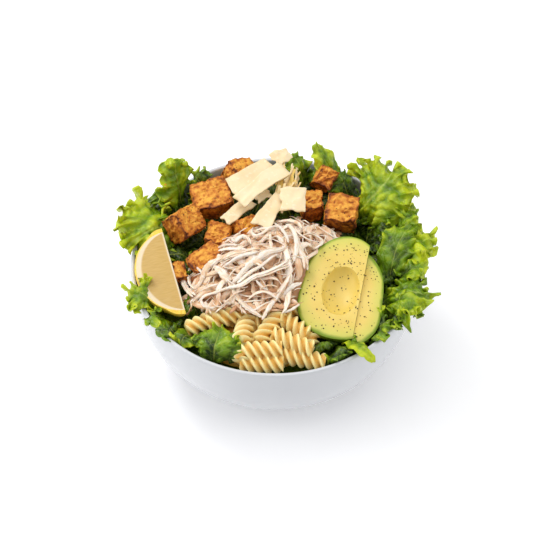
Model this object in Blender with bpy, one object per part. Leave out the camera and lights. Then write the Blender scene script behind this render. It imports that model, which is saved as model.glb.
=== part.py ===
"""A chicken caesar salad in a deep white bowl, modelled in metres with +Z up.

The bowl stands on z = 0 with its axis on Z, and the front of the salad faces -Y.
The sizes below are millimetres, as a ruler in the kitchen gives them, and
make_object turns them to metres. Each heap (lettuce, pasta, chicken) is one solid:
a core with the pieces that show fused on. What lies lower gives way to what
rests on it, so that every two solids keep a small gap.
"""

import math
import random

import bmesh
import bpy
from mathutils import Euler, Matrix, Vector, noise
from mathutils.geometry import delaunay_2d_cdt

MM = 0.001
GAP = 0.45  # clearance between two separate pieces
SHORTEST = 0.7  # detail finer than this is merged where two pieces of a heap cross

# Bowl
RIM_RADIUS = 105.0
BOWL_HEIGHT = 88.0
WALL = 3.2
FULLNESS = 2.7  # exponent of the wall's curve: 2 is a round bowl, more is fuller
FOOT_CUT = 3.0  # how far the flat foot cuts into the round bottom
FLOOR = 6.0  # height of the inside bottom
FOOT_RING = 5.0
FOOT_RECESS = 1.5
BOWL_SIDES = 34

# Heaps
BED_HEIGHT = 74.0  # top of the lettuce bed under the leaves that show
HOLLOW_DEPTH = 6.0  # how far the bed dips under pasta, chicken and avocado
LEAF_THICKNESS = 1.1
PASTA_BACK = -48.0  # the pasta lies in front of this line
PASTA_RADIUS = 6.8
PASTA_PITCH = 17.5
SHRED_COUNT = 27
CRAG_SEED = 4  # settles the torn corners of the croutons and the edges of the cheese
AVOCADO_CUT = 13.5  # from the avocado's middle to the cut beside its neck


# Helpers

def clear_scene():
    for thing in list(bpy.data.objects):
        bpy.data.objects.remove(thing, do_unlink=True)


def principled(name, colour, roughness, metallic=0.0):
    """A Principled BSDF material; colour is linear red, green and blue."""
    material = bpy.data.materials.new(name)
    material.use_nodes = True
    shader = material.node_tree.nodes["Principled BSDF"]
    shader.inputs["Base Color"].default_value = (*colour, 1.0)
    shader.inputs["Roughness"].default_value = roughness
    shader.inputs["Metallic"].default_value = metallic
    material.diffuse_color = (*colour, 1.0)
    return material


def make_object(name, bm, material=None, smooth=False):
    """Turns a bmesh in millimetres into an object in metres."""
    bmesh.ops.scale(bm, vec=(MM, MM, MM), verts=bm.verts)
    bmesh.ops.recalc_face_normals(bm, faces=bm.faces)
    bmesh.ops.triangulate(bm, faces=bm.faces)
    mesh = bpy.data.meshes.new(name)
    bm.to_mesh(mesh)
    bm.free()
    if material:
        mesh.materials.append(material)
    if smooth:
        mesh.shade_smooth()
        mesh.set_sharp_from_angle(angle=math.radians(40))
    made = bpy.data.objects.new(name, mesh)
    bpy.context.scene.collection.objects.link(made)
    return made


def placed(bm, centre, turn_deg):
    """Turns a bmesh about its own origin, then moves it to centre."""
    turn = Euler([math.radians(a) for a in turn_deg], "XYZ").to_matrix().to_4x4()
    bmesh.ops.transform(bm, matrix=Matrix.Translation(centre) @ turn, verts=bm.verts)
    return bm


def smoothstep(low, high, x):
    t = min(1.0, max(0.0, (x - low) / (high - low)))
    return t * t * (3 - 2 * t)


def combine(target, operation, others):
    """One Boolean of target with a collection of other objects, applied; the others are then removed."""
    group = bpy.data.collections.new("group")
    bpy.context.scene.collection.children.link(group)
    for other in others:
        bpy.context.scene.collection.objects.unlink(other)
        group.objects.link(other)
    modifier = target.modifiers.new("combine", "BOOLEAN")
    modifier.operation = operation
    modifier.operand_type = "COLLECTION"
    modifier.collection = group
    modifier.solver = "MANIFOLD"
    graph = bpy.context.evaluated_depsgraph_get()
    mesh = bpy.data.meshes.new_from_object(target.evaluated_get(graph))
    target.modifiers.clear()
    target.data = mesh
    for other in others:
        bpy.data.objects.remove(other, do_unlink=True)
    bpy.data.collections.remove(group)


def swollen_copy(thing, by):
    """A copy of an object grown outwards, to cut its neighbours with a gap."""
    bm = bmesh.new()
    bm.from_mesh(thing.data)
    bm.normal_update()
    moves = [(v, v.normal * by * MM * min(2.0, v.calc_shell_factor())) for v in bm.verts]
    for vertex, move in moves:
        vertex.co += move
    mesh = bpy.data.meshes.new("cutter")
    bm.to_mesh(mesh)
    bm.free()
    copy = bpy.data.objects.new("cutter", mesh)
    bpy.context.scene.collection.objects.link(copy)
    return copy


def keep_main_body(thing):
    """Drops the loose scraps that a cut leaves; the main body is the one that reaches lowest."""
    bm = bmesh.new()
    bm.from_mesh(thing.data)
    islands = []
    seen = set()
    for start in bm.verts:
        if start in seen:
            continue
        island, todo = [], [start]
        seen.add(start)
        while todo:
            vertex = todo.pop()
            island.append(vertex)
            for edge in vertex.link_edges:
                other = edge.other_vert(vertex)
                if other not in seen:
                    seen.add(other)
                    todo.append(other)
        islands.append(island)
    islands.sort(key=lambda island: min(vertex.co.z for vertex in island))
    for scrap in islands[1:]:
        bmesh.ops.delete(bm, geom=scrap, context="VERTS")
    bm.to_mesh(thing.data)
    bm.free()


def may_merge(kept, dropped):
    """True where merging two neighbouring corners leaves the skin closed and unfolded."""
    if any(len(edge.link_faces) != 2 for corner in (kept, dropped) for edge in corner.link_edges):
        return False
    near_kept = {edge.other_vert(kept) for edge in kept.link_edges}
    near_dropped = {edge.other_vert(dropped) for edge in dropped.link_edges}
    if len(near_kept & near_dropped) != 2:
        return False
    for face in dropped.link_faces:
        if kept in face.verts:
            continue
        before = face.normal
        moved = [kept.co if corner is dropped else corner.co for corner in face.verts]
        after = (moved[1] - moved[0]).cross(moved[2] - moved[0])
        if after.length < 1e-12 or after.normalized().dot(before) < 0.3:
            return False
    return True


def turned_diagonal(bm, edge):
    """Turns one of the two diagonals that share an edge of four faces, so that each edge has two."""
    for one in edge.link_faces:
        for other in edge.link_faces:
            if one is other or one.normal.dot(other.normal) < 0.99:
                continue
            loop = next(loop for loop in one.loops if loop.edge is edge)
            start, end = loop.vert, loop.link_loop_next.vert
            top = loop.link_loop_prev.vert
            far = next(corner for corner in other.verts if corner not in edge.verts)
            halves = ((top, start, far), (far, end, top))
            crosses = [(b.co - a.co).cross(c.co - b.co).dot(one.normal) for a, b, c in halves]
            if min(crosses) > 0 and not bm.edges.get((top, far)):
                bmesh.ops.delete(bm, geom=[one, other], context="FACES_ONLY")
                for half in halves:
                    bm.faces.new(half)
                return


def drop_short_edges(thing, shortest):
    """Merges the corners that lie very close together where two surfaces cross."""
    bm = bmesh.new()
    bm.from_mesh(thing.data)
    bmesh.ops.triangulate(bm, faces=bm.faces)
    for edge in [edge for edge in bm.edges if len(edge.link_faces) > 2]:
        turned_diagonal(bm, edge)
    bm.normal_update()
    merged = True
    while merged:
        merged = False
        for edge in [edge for edge in bm.edges if edge.calc_length() < shortest * MM]:
            if not edge.is_valid or edge.calc_length() >= shortest * MM:
                continue
            kept, dropped = edge.verts
            if may_merge(kept, dropped):
                bmesh.ops.weld_verts(bm, targetmap={dropped: kept})
                bm.normal_update()
                merged = True
    bm.to_mesh(thing.data)
    bm.free()


def give_way(lower, uppers, by=GAP):
    """Cuts the lower piece back from every piece that rests in or on it."""
    combine(lower, "DIFFERENCE", [swollen_copy(upper, by) for upper in uppers])
    keep_main_body(lower)
    drop_short_edges(lower, GAP / 15)


# Bowl: slip-cast white porcelain, full-bodied, with a thin rounded lip and a low foot ring

def outer_radius(z):
    depth = (BOWL_HEIGHT - z) / (BOWL_HEIGHT + FOOT_CUT)
    return RIM_RADIUS * (1 - depth**FULLNESS) ** (1 / FULLNESS)


def inner_radius(z):
    depth = min(1.0, (BOWL_HEIGHT - z) / (BOWL_HEIGHT - FLOOR))
    return (RIM_RADIUS - WALL) * (1 - depth**FULLNESS) ** (1 / FULLNESS)


def inside_heights():
    """Heights of the inside wall's rings, closer together where it curves most."""
    steps = 6
    return [FLOOR + (BOWL_HEIGHT - 2.0 - FLOOR) * (i / steps) ** 1.9 for i in range(1, steps + 1)]


def bowl_profile():
    """Radius and height from the middle of the underside, round the lip, to the inside bottom."""
    foot = outer_radius(0.0)
    points = [(0.0, FOOT_RECESS), (foot - FOOT_RING, FOOT_RECESS), (foot - FOOT_RING + 1.5, 0.0), (foot, 0.0)]
    steps = 7
    points += [
        (outer_radius(z), z)
        for z in (BOWL_HEIGHT * (i / steps) ** 1.9 for i in range(2, steps))
    ]
    points += [
        (RIM_RADIUS, BOWL_HEIGHT - 1.4),
        (RIM_RADIUS - 0.9, BOWL_HEIGHT),
        (RIM_RADIUS - WALL + 0.9, BOWL_HEIGHT),
    ]
    points += [(inner_radius(z), z) for z in reversed(inside_heights())]
    points.append((0.0, FLOOR))
    return points


def spun(profile, sides):
    """A closed solid of revolution about Z from radius and height pairs that start and end on the axis."""
    bm = bmesh.new()
    chain = [bm.verts.new((radius, 0.0, z)) for radius, z in profile]
    edges = [bm.edges.new(pair) for pair in zip(chain, chain[1:])]
    bmesh.ops.spin(
        bm, geom=chain + edges, axis=(0, 0, 1), cent=(0, 0, 0), angle=math.tau, steps=sides, use_merge=True
    )
    bmesh.ops.remove_doubles(bm, verts=bm.verts, dist=0.01)
    return bm


def make_bowl(material):
    return make_object("bowl", spun(bowl_profile(), BOWL_SIDES), material, smooth=True)


# Lettuce: frilled green leaves, fused on one bed that fills the bowl

def hollow(x, y):
    """1 under the pasta, chicken and avocado, 0 where lettuce or croutons lie on the bed."""
    middle = smoothstep(1.25, 0.85, math.hypot((x + 10) / 60, (y + 40) / 52))
    right = smoothstep(1.25, 0.85, math.hypot((x - 47) / 32, (y + 33) / 42))
    return max(middle, right)


def bed_top(x, y):
    ripple = 2.2 * noise.noise(Vector((x, y, 3.0)) / 16.0)
    return BED_HEIGHT - HOLLOW_DEPTH * hollow(x, y) + ripple


def make_bed(material):
    wall = [z for z in inside_heights() if z < BED_HEIGHT - 8]
    profile = [(0.0, FLOOR + 0.8)] + [(inner_radius(z) - 1.3, z) for z in wall]
    edge = BED_HEIGHT - 5.0
    profile.append((inner_radius(edge) - 1.6, edge))
    top_rings = (92.0, 74.0, 50.0, 26.0)
    profile += [(radius, BED_HEIGHT) for radius in top_rings] + [(0.0, BED_HEIGHT)]
    bm = spun(profile, 24)
    for vertex in bm.verts:
        if vertex.co.z > BED_HEIGHT - 0.5:
            vertex.co.z = bed_top(vertex.co.x, vertex.co.y)
    return make_object("lettuce", bm, material)


def clear_of_bowl(point):
    """Moves a leaf's point off the bowl: inwards below the lip, up over it."""
    radius = math.hypot(point.x, point.y)
    limit = inner_radius(min(point.z, BOWL_HEIGHT - 2.0)) - 2.4
    if radius <= limit:
        return point
    if point.z < BOWL_HEIGHT - 6.0 and radius < RIM_RADIUS + 1.0:
        return Vector((point.x * limit / radius, point.y * limit / radius, point.z))
    over_lip = BOWL_HEIGHT + 3.0 - max(0.0, radius - RIM_RADIUS - 5.0)
    return Vector((point.x, point.y, max(point.z, over_lip)))


def leaf_point(leaf, x, y):
    """A point of a leaf's middle surface. x and y run over a unit disc: y from stalk to tip, x across."""
    base, bend, tip, width, roll, frill, waves, phase = leaf
    base, bend, tip = Vector(base), Vector(bend), Vector(tip)
    along = (1 + y) / 2
    spine = base * (1 - along) ** 2 + bend * 2 * along * (1 - along) + tip * along**2
    heading = ((bend - base) * (1 - along) + (tip - bend) * along).normalized()
    side = heading.cross(Vector((0, 0, 1)))
    if side.length < 0.05:
        side = Vector((1, 0, 0))
    side = (Matrix.Rotation(math.radians(roll), 3, heading) @ side).normalized()
    face = side.cross(heading).normalized()
    rho, theta = math.hypot(x, y), math.atan2(x, y)
    open_blade = 0.34 + 0.66 * smoothstep(0.0, 0.55, along)
    lobes = 1 + 0.13 * rho**2 * math.sin(waves * theta * 1.4 + phase)
    edge = rho**3 * smoothstep(0.05, 0.4, along)
    ruffle = frill * edge * (math.sin(waves * theta + phase) + 0.35 * math.sin(2.3 * waves * theta + 2 * phase))
    cup = -0.12 * width * x * x
    outward = heading * (lobes - 1) * y * (tip - base).length * 0.3
    return clear_of_bowl(spine + side * x * width / 2 * open_blade * lobes + face * (ruffle + cup) + outward)


# Each leaf: stalk end, bend and tip of its spine, width, roll in degrees, depth of the frill, waves round the edge, phase
LEAVES = {
    "back_left_upright": ((-66, 56, 70), (-74, 62, 100), (-74, 70, 121), 30, 20, 3.0, 5, 0.4),
    "left_fan": ((-70, 36, 72), (-80, 31, 107), (-109, 8, 91), 62, -24, 3.6, 7, 1.1),
    "left_front_curl": ((-82, -38, 74), (-90, -42, 104), (-104, -33, 95), 30, -8, 3.4, 5, 2.0),
    "left_low_frill": ((-72, -46, 68), (-84, -54, 92), (-90, -52, 86), 28, 0, 2.8, 5, 0.9),
    "left_rim_dark": ((-60, -64, 66), (-72, -68, 90), (-80, -64, 84), 30, 0, 2.8, 5, 1.7),
    "front_left_curl": ((-50, -62, 66), (-65, -64, 96), (-66, -77, 80), 24, 5, 1.6, 4, 0.2),
    "front_left_dark": ((-42, -84, 66), (-44, -91, 98), (-37, -67, 94), 42, -8, 3.4, 6, 2.6),
    "behind_lemon": ((-50, -50, 66), (-58, -43, 88), (-60, -33, 87), 18, 0, 1.5, 4, 1.9),
    "back_blade": ((22, 76, 70), (22, 80, 100), (14, 90, 106), 24, 15, 1.8, 4, 0.7),
    "back_stalk": ((54, 74, 72), (42, 80, 104), (30, 91, 115), 19, -12, 1.6, 4, 1.3),
    "back_right_dark": ((60, 62, 70), (54, 70, 98), (46, 76, 100), 26, 0, 2.0, 4, 1.0),
    "right_back_big": ((58, 46, 78), (73, 41, 114), (93, 65, 120), 62, 8, 4.6, 7, 0.3),
    "right_back_dark": ((66, 34, 70), (75, 34, 100), (85, 36, 98), 36, 0, 3.0, 5, 1.9),
    "right_curl": ((84, 26, 74), (92, 22, 106), (103, 31, 104), 26, 5, 2.8, 5, 1.5),
    "right_spiked": ((80, 6, 72), (96, 4, 106), (115.9, 10, 98), 36, -6, 3.4, 6, 2.2),
    "right_long": ((82, -26, 72), (82, -2, 108), (99, 18, 104), 27, 10, 1.6, 4, 0.8),
    "right_spike_low": ((84, -14, 74), (96, -18, 104), (109, -16, 97), 20, 0, 2.2, 4, 2.6),
    "right_front_frill": ((76, -34, 72), (90, -38, 110), (110, -42, 93), 46, -4, 4.0, 6, 1.7),
    "right_low_dark": ((74, -50, 68), (84, -50, 98), (92, -52, 92), 34, 0, 3.2, 5, 0.6),
    "front_right_frill": ((62, -58, 66), (72, -64, 96), (80, -62, 90), 30, 6, 3.0, 5, 0.5),
    "front_right_hanging": ((46, -66, 68), (54, -82, 108), (66, -95, 90), 14, 0, 1.6, 3, 2.9),
    "front_right_dark": ((40, -70, 64), (44, -80, 92), (52, -84, 88), 30, 0, 3.0, 5, 1.2),
    "by_pasta": ((30, -66, 66), (31, -72, 88), (36, -80, 86), 20, 0, 2.0, 4, 2.4),
    "back_left_dark": ((-50, 70, 70), (-56, 74, 98), (-62, 76, 97), 28, 0, 2.4, 4, 0.1),
}


def disc_points(margin_points):
    """Points of a unit disc: the margin, a ring inside it and two on the midrib."""
    points = [Vector((0.0, -0.3)), Vector((0.0, 0.3))]
    for count, radius in ((margin_points // 3, 0.68), (margin_points, 1.0)):
        for i in range(count):
            angle = math.tau * (i + 0.25) / count
            points.append(Vector((radius * math.sin(angle), radius * math.cos(angle))))
    return points


def make_leaf(name, leaf):
    points = disc_points(16 + round(leaf[3] / 6))
    spots, _, faces = delaunay_2d_cdt(points, [], [], 0, 1e-6)[:3]
    bm = bmesh.new()
    verts = [bm.verts.new(leaf_point(leaf, spot.x, spot.y)) for spot in spots]
    for face in faces:
        bm.faces.new([verts[i] for i in face])
    bm.normal_update()
    bmesh.ops.solidify(bm, geom=bm.faces[:], thickness=LEAF_THICKNESS)
    return make_object(name, bm)


def make_lettuce(material):
    lettuce = make_bed(material)
    combine(lettuce, "UNION", [make_leaf(name, leaf) for name, leaf in LEAVES.items()])
    drop_short_edges(lettuce, SHORTEST)
    return lettuce


# Croutons: cubes of bread, fried golden brown, with torn and crushed corners

# Each crouton: its three sides, its centre and how it is turned in degrees
CROUTONS = {
    "crouton_left": ((22, 20, 20), (-66.7, 27.3, 96), (38, 12, 48)),
    "crouton_big_left": ((28, 24, 22), (-47, 54, 94), (16, -8, 14)),
    "crouton_back_left": ((20, 17, 20), (-27, 81, 92), (10, 22, 30)),
    "crouton_middle": ((17, 17, 17), (-42, 21, 88), (14, 6, -10)),
    "crouton_centre": ((17, 18, 19), (-20.5, 25, 90), (30, 6, 25)),
    "crouton_low": ((25, 16, 15), (-50, -3.5, 91.5), (14, -14, 34)),
    "crouton_by_lemon": ((10, 14, 17), (-69, -12.5, 83.5), (8, 4, 14)),
    "crouton_back_right": ((14, 15, 25), (37, 75, 94), (30, 24, -20)),
    "crouton_round": ((15, 16, 22), (27, 48, 93), (12, 4, 10)),
    "crouton_big_right": ((23, 22, 27), (49, 38, 95), (20, 4, -8)),
}


def make_crouton(name, sizes, centre, turn, material):
    seed = sum(ord(letter) for letter in name)
    cuts = 2 if max(sizes) > 22 else 1
    bm = bmesh.new()
    bmesh.ops.create_cube(bm, size=1.0)
    bmesh.ops.subdivide_edges(bm, edges=bm.edges[:], cuts=cuts, use_grid_fill=True)
    for vertex in bm.verts:
        rounded = vertex.co.lerp(vertex.co.normalized() * 0.62, 0.16)
        at = Vector(side * part for side, part in zip(sizes, rounded))
        crag = noise.noise_vector(at / 9.0 + Vector((seed, 0, 0)))
        vertex.co = at + crag * 1.5
    return make_object(name, placed(bm, centre, turn), material)


# Parmesan: thin curved shavings, leaning on each other over the croutons

# Each shaving: length, width at its start and at its end, bend in mm, centre and turn in degrees
SHAVINGS = {
    "parmesan_slab": (37, 19, 17, 1.5, (-17, 63, 109), (12, -4, 36)),
    "parmesan_long": (45, 11, 14, 2.0, (-10, 52, 112.5), (10, -5, 44)),
    "parmesan_low_left": (27, 9, 12, -1.0, (-27.5, 36, 102.5), (10, -6, 46)),
    "parmesan_triangle": (33, 15, 9, 1.5, (-3, 32.5, 106), (8, -5, 62)),
    "parmesan_square": (19, 18, 19, 1.5, (13.5, 38, 111), (20, 0, -6)),
    "parmesan_back": (15, 13, 9, 1.0, (5, 81.5, 112), (22, 0, 30)),
    "parmesan_small": (13, 6, 8, 1.0, (-9, 48.5, 103), (10, 0, 40)),
    "parmesan_edge_left": (20, 9, 6, 1.0, (11.5, 66, 107), (76, 4, 76)),
    "parmesan_edge_right": (19, 8, 6, 1.0, (16, 64, 106), (78, 4, 84)),
}


def make_shaving(name, length, width_start, width_end, bend, centre, turn, material):
    seed = sum(ord(letter) for letter in name)
    bm = bmesh.new()
    bmesh.ops.create_grid(bm, x_segments=4, y_segments=1, size=0.5)
    for vertex in bm.verts:
        x, y = vertex.co.x, vertex.co.y
        width = width_start + (width_end - width_start) * (x + 0.5)
        chip = noise.noise_vector(Vector((x * 3, y * 3, seed)))
        lift = bend * (1 - 4 * x * x) + 0.6 * chip.z
        vertex.co = Vector((x * length + chip.x * 2.0, y * width + chip.y * 1.6, lift))
    bmesh.ops.triangulate(bm, faces=bm.faces)
    bm.normal_update()
    bmesh.ops.solidify(bm, geom=bm.faces[:], thickness=1.2)
    return make_object(name, placed(bm, centre, turn), material)


# Avocado: a peeled half with the stone's hollow, one slice cut off beside the neck

AVOCADO_LENGTH = 81.0
AVOCADO_RADIUS = 28.6
AVOCADO_CENTRE = (47.8, -34, 97.8)
AVOCADO_TURN = (14, 2, -11)
STONE_HOLLOW = (13.2, 19.0, 10.0)
STONE_CENTRE = (-0.8, -3.5, 1.0)
SLICE_TILT = -3.7  # degrees: the slice's neck end has sunk
SLICE_SLIP = (0.7, -5.0, -2.6)


def avocado_point(theta, phi):
    """Pear shape about Y: theta from the neck's end, phi round the axis."""
    radius = AVOCADO_RADIUS * math.sin(theta) * (1 - 0.25 * math.cos(theta))
    c = math.cos(theta)
    y = AVOCADO_LENGTH / 2 * math.copysign(abs(c) ** (0.55 if c > 0 else 0.8), c)
    return Vector((radius * math.cos(phi), y, 0.9 * radius * math.sin(phi)))


def pear():
    bm = bmesh.new()
    bmesh.ops.create_uvsphere(bm, u_segments=24, v_segments=12, radius=1.0)
    for vertex in bm.verts:
        theta = math.acos(max(-1.0, min(1.0, vertex.co.z)))
        vertex.co = avocado_point(theta, math.atan2(vertex.co.y, vertex.co.x) + 0.01)
    return bm


def cut_flat(bm, point, normal):
    """Takes away what lies on the normal's side of a plane and closes the cut."""
    made = bmesh.ops.bisect_plane(
        bm, geom=bm.verts[:] + bm.edges[:] + bm.faces[:], plane_co=point, plane_no=normal, clear_outer=True
    )
    edges = [part for part in made["geom_cut"] if isinstance(part, bmesh.types.BMEdge)]
    bmesh.ops.contextual_create(bm, geom=edges)
    return bm


def stone_hollow():
    bm = bmesh.new()
    bmesh.ops.create_uvsphere(bm, u_segments=16, v_segments=8, radius=1.0)
    bmesh.ops.scale(bm, vec=STONE_HOLLOW, verts=bm.verts)
    bmesh.ops.translate(bm, vec=STONE_CENTRE, verts=bm.verts)
    return bm


def pepper_flakes():
    """Coarse flakes of black pepper, half sunk in the cut face."""
    rng = random.Random(11)
    flakes = []
    while len(flakes) < 24:
        x, y = rng.uniform(-21, 12), rng.uniform(-32, 36)
        across = AVOCADO_RADIUS * (0.8 if y < 12 else 0.42)
        in_hollow = ((x - STONE_CENTRE[0]) / 16.5) ** 2 + ((y - STONE_CENTRE[1]) / 22) ** 2 < 1
        if abs(x) > across or in_hollow:
            continue
        bm = bmesh.new()
        bmesh.ops.create_cone(bm, segments=3, radius1=0.75, radius2=0.0, depth=1.1, cap_ends=True)
        placed(bm, (x, y, 0.2), (rng.uniform(-30, 30), rng.uniform(-30, 30), rng.uniform(0, 90)))
        flakes.append(make_object("flake", placed(bm, AVOCADO_CENTRE, AVOCADO_TURN)))
    return flakes


def make_avocado(material):
    main = cut_flat(cut_flat(pear(), (0, 0, 0), (0, 0, 1)), (AVOCADO_CUT, 0, 0), (1, 0, 0))
    half = make_object("avocado_half", placed(main, AVOCADO_CENTRE, AVOCADO_TURN), material, smooth=True)
    combine(half, "DIFFERENCE", [make_object("stone", placed(stone_hollow(), AVOCADO_CENTRE, AVOCADO_TURN))])
    combine(half, "UNION", pepper_flakes())
    side = cut_flat(cut_flat(pear(), (0, 0, 0), (0, 0, 1)), (AVOCADO_CUT, 0, 0), (-1, 0, 0))
    tilt = Matrix.Rotation(math.radians(SLICE_TILT), 4, "X")
    bmesh.ops.transform(side, matrix=Matrix.Translation(SLICE_SLIP) @ tilt, verts=side.verts)
    piece = make_object("avocado_slice", placed(side, AVOCADO_CENTRE, AVOCADO_TURN), material, smooth=True)
    return [half, piece]


# Lemon: one wedge of a small lemon, a cut face up and its rind against the bowl

LEMON_LENGTH = 74.0
LEMON_RADIUS = 27.5
LEMON_CENTRE = (-72.5, -16.5, 95)
LEMON_TURN = (9, 0, 16)
WEDGE_ANGLE = 62.0


def make_lemon(material):
    bm = bmesh.new()
    bmesh.ops.create_uvsphere(bm, u_segments=28, v_segments=12, radius=1.0)
    for vertex in bm.verts:
        length_share = vertex.co.z
        nub = 1 + 0.1 * smoothstep(0.86, 1.0, abs(length_share))
        vertex.co = Vector(
            (vertex.co.x * LEMON_RADIUS, length_share * nub * LEMON_LENGTH / 2.2, vertex.co.y * LEMON_RADIUS)
        )
    cut_flat(bm, (0, 0, 0), (0, 0, 1))
    low = math.radians(WEDGE_ANGLE)
    cut_flat(bm, (0, 0, 0), (math.sin(low), 0, -math.cos(low)))
    return make_object("lemon_wedge", placed(bm, LEMON_CENTRE, LEMON_TURN), material, smooth=True)


# Chicken: a mound of pulled breast, long flat shreds thrown over each other

MOUND_CENTRE = (-7, -12.5)
MOUND_SIZE = (60, 41)
MOUND_HEADING = 27.0
MOUND_FOOT = 66.0
MOUND_EDGE = 90.0
MOUND_TOP = 109.0
MOUND_LEAN = 0.09  # rise per millimetre to the right
OVER_PASTA = 101.0  # shreds that reach over the pasta lie at this height


def mound_share(x, y):
    """0 in the middle of the chicken mound, 1 at its edge."""
    turn = math.radians(-MOUND_HEADING)
    dx, dy = x - MOUND_CENTRE[0], y - MOUND_CENTRE[1]
    u = dx * math.cos(turn) - dy * math.sin(turn)
    v = dx * math.sin(turn) + dy * math.cos(turn)
    return math.hypot(u / MOUND_SIZE[0], v / MOUND_SIZE[1])


def mound_top(x, y):
    share = mound_share(x, y)
    height = MOUND_EDGE + (MOUND_TOP - MOUND_EDGE) * (1 - min(1.3, share) ** 2)
    return height + MOUND_LEAN * (x - MOUND_CENTRE[0])


def make_mound(name, material=None):
    """The core: a lump a little smaller than the mound."""
    bm = bmesh.new()
    bmesh.ops.create_uvsphere(bm, u_segments=14, v_segments=8, radius=1.0)
    turn = Matrix.Rotation(math.radians(MOUND_HEADING), 3, "Z")
    for vertex in bm.verts:
        across = Vector((vertex.co.x * MOUND_SIZE[0], vertex.co.y * MOUND_SIZE[1], 0)) * 0.92
        x, y = (turn @ across).xy + Vector(MOUND_CENTRE)
        z = MOUND_FOOT + (MOUND_EDGE - MOUND_FOOT) * (1 + vertex.co.z)
        if vertex.co.z > 0.01:
            z = mound_top(x, y) - 1.0 + 1.6 * noise.noise(Vector((x, y, 0)) / 9.0)
        vertex.co = Vector((x, y, z))
    return make_object(name, bm, material)


def strip(path, widths, thickness):
    """A flat strip along a path, four sides round, tapering to its ends."""
    bm = bmesh.new()
    rings = []
    for i, point in enumerate(path):
        ahead = path[min(i + 1, len(path) - 1)]
        behind = path[max(i - 1, 0)]
        heading = (ahead - behind).normalized()
        side = heading.cross(Vector((0, 0, 1))).normalized()
        up = side.cross(heading).normalized()
        half = widths[i] / 2
        corners = (side * half, up * thickness / 2, side * -half, up * -thickness / 2)
        rings.append([bm.verts.new(point + corner) for corner in corners])
    for near, far in zip(rings, rings[1:]):
        for k in range(4):
            bm.faces.new((near[k], near[(k + 1) % 4], far[(k + 1) % 4], far[k]))
    bm.faces.new(list(reversed(rings[0])))
    bm.faces.new(rings[-1])
    return bm


def over_avocado(x, y):
    """True within the avocado's outline seen from above."""
    turn = math.radians(AVOCADO_TURN[2])
    dx, dy = x - AVOCADO_CENTRE[0], y - AVOCADO_CENTRE[1]
    across = dx * math.cos(turn) + dy * math.sin(turn)
    along = dy * math.cos(turn) - dx * math.sin(turn)
    return math.hypot(across / AVOCADO_RADIUS, along * 2 / AVOCADO_LENGTH) < 0.98


def shred_path(rng, spread, steps=6):
    """A shred over the mound at a spread of 0 (middle) to 1 (edge), drooping at the mound's sides."""
    angle = spread * SHRED_COUNT * math.pi * (3 - math.sqrt(5))
    reach = 0.95 * math.sqrt(spread)
    turn = math.radians(MOUND_HEADING)
    u = MOUND_SIZE[0] * reach * math.cos(angle)
    v = MOUND_SIZE[1] * reach * math.sin(angle)
    x = MOUND_CENTRE[0] + u * math.cos(turn) - v * math.sin(turn)
    y = MOUND_CENTRE[1] + u * math.sin(turn) + v * math.cos(turn)
    heading = math.radians(30 + 75 * smoothstep(-5, 35, x) + rng.gauss(0, 26))
    curl = rng.uniform(-0.16, 0.16)
    length = rng.uniform(30, 52)
    lift = rng.uniform(0.4, 3.2)
    points = []
    for i in range(steps):
        part = (i / (steps - 1) - 0.5) * length
        direction = heading + curl * part / 6
        px = x + part * math.cos(direction)
        py = y + part * math.sin(direction)
        if over_avocado(px, py):
            continue
        droop = 1.4 * math.sin(i * 1.1 + angle)
        height = mound_top(px, py) + lift + droop
        if py < PASTA_BACK:
            height = max(height, OVER_PASTA + lift / 2)
        points.append(Vector((px, py, height)))
    return points


def make_chicken(material):
    rng = random.Random(5)
    chicken = make_mound("chicken", material)
    shreds = []
    for number in range(SHRED_COUNT):
        path = shred_path(rng, (number + 0.5) / SHRED_COUNT)
        if len(path) < 3:
            continue
        width = rng.uniform(3.4, 7.6)
        widths = [width * (0.35 + 0.65 * math.sin(math.pi * (i + 0.5) / len(path))) for i in range(len(path))]
        shreds.append(make_object(f"shred_{number}", strip(path, widths, rng.uniform(2.0, 3.2))))
    combine(chicken, "UNION", shreds)
    drop_short_edges(chicken, SHORTEST)
    return chicken


# Pasta: fusilli, three-bladed spirals about 32 mm long, heaped at the front

# Each fusillo: centre, heading and slope in degrees, length
FUSILLI = (
    ((-9, -90.5, 83), -3, 2, 30),
    ((20, -87, 84), -10, -4, 30),
    ((-9, -84, 89), 3, 0, 28),
    ((12, -78, 91), -24, -4, 30),
    ((11, -60, 90), -42, -4, 32),
    ((-3, -65, 90), 57, 4, 30),
    ((-21, -67, 89), 78, -14, 26),
    ((-33, -56, 90), 20, 0, 30),
    ((-50, -58, 87), 24, 6, 26),
    ((-20, -79, 84), 70, -6, 24),
)
PASTA_CENTRE = (-10, -67)
PASTA_CORE = (42, 22)
PASTA_FOOT = 64.0
PASTA_TOP = 84.0


def make_pasta_core(material):
    bm = bmesh.new()
    bmesh.ops.create_uvsphere(bm, u_segments=12, v_segments=6, radius=1.0)
    middle = (PASTA_FOOT + PASTA_TOP) / 2
    for vertex in bm.verts:
        x, y, z = vertex.co
        vertex.co = Vector(
            (
                PASTA_CENTRE[0] + x * PASTA_CORE[0],
                PASTA_CENTRE[1] + y * PASTA_CORE[1],
                middle + z * (PASTA_TOP - PASTA_FOOT) / 2,
            )
        )
    return make_object("pasta", bm, material)


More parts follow.
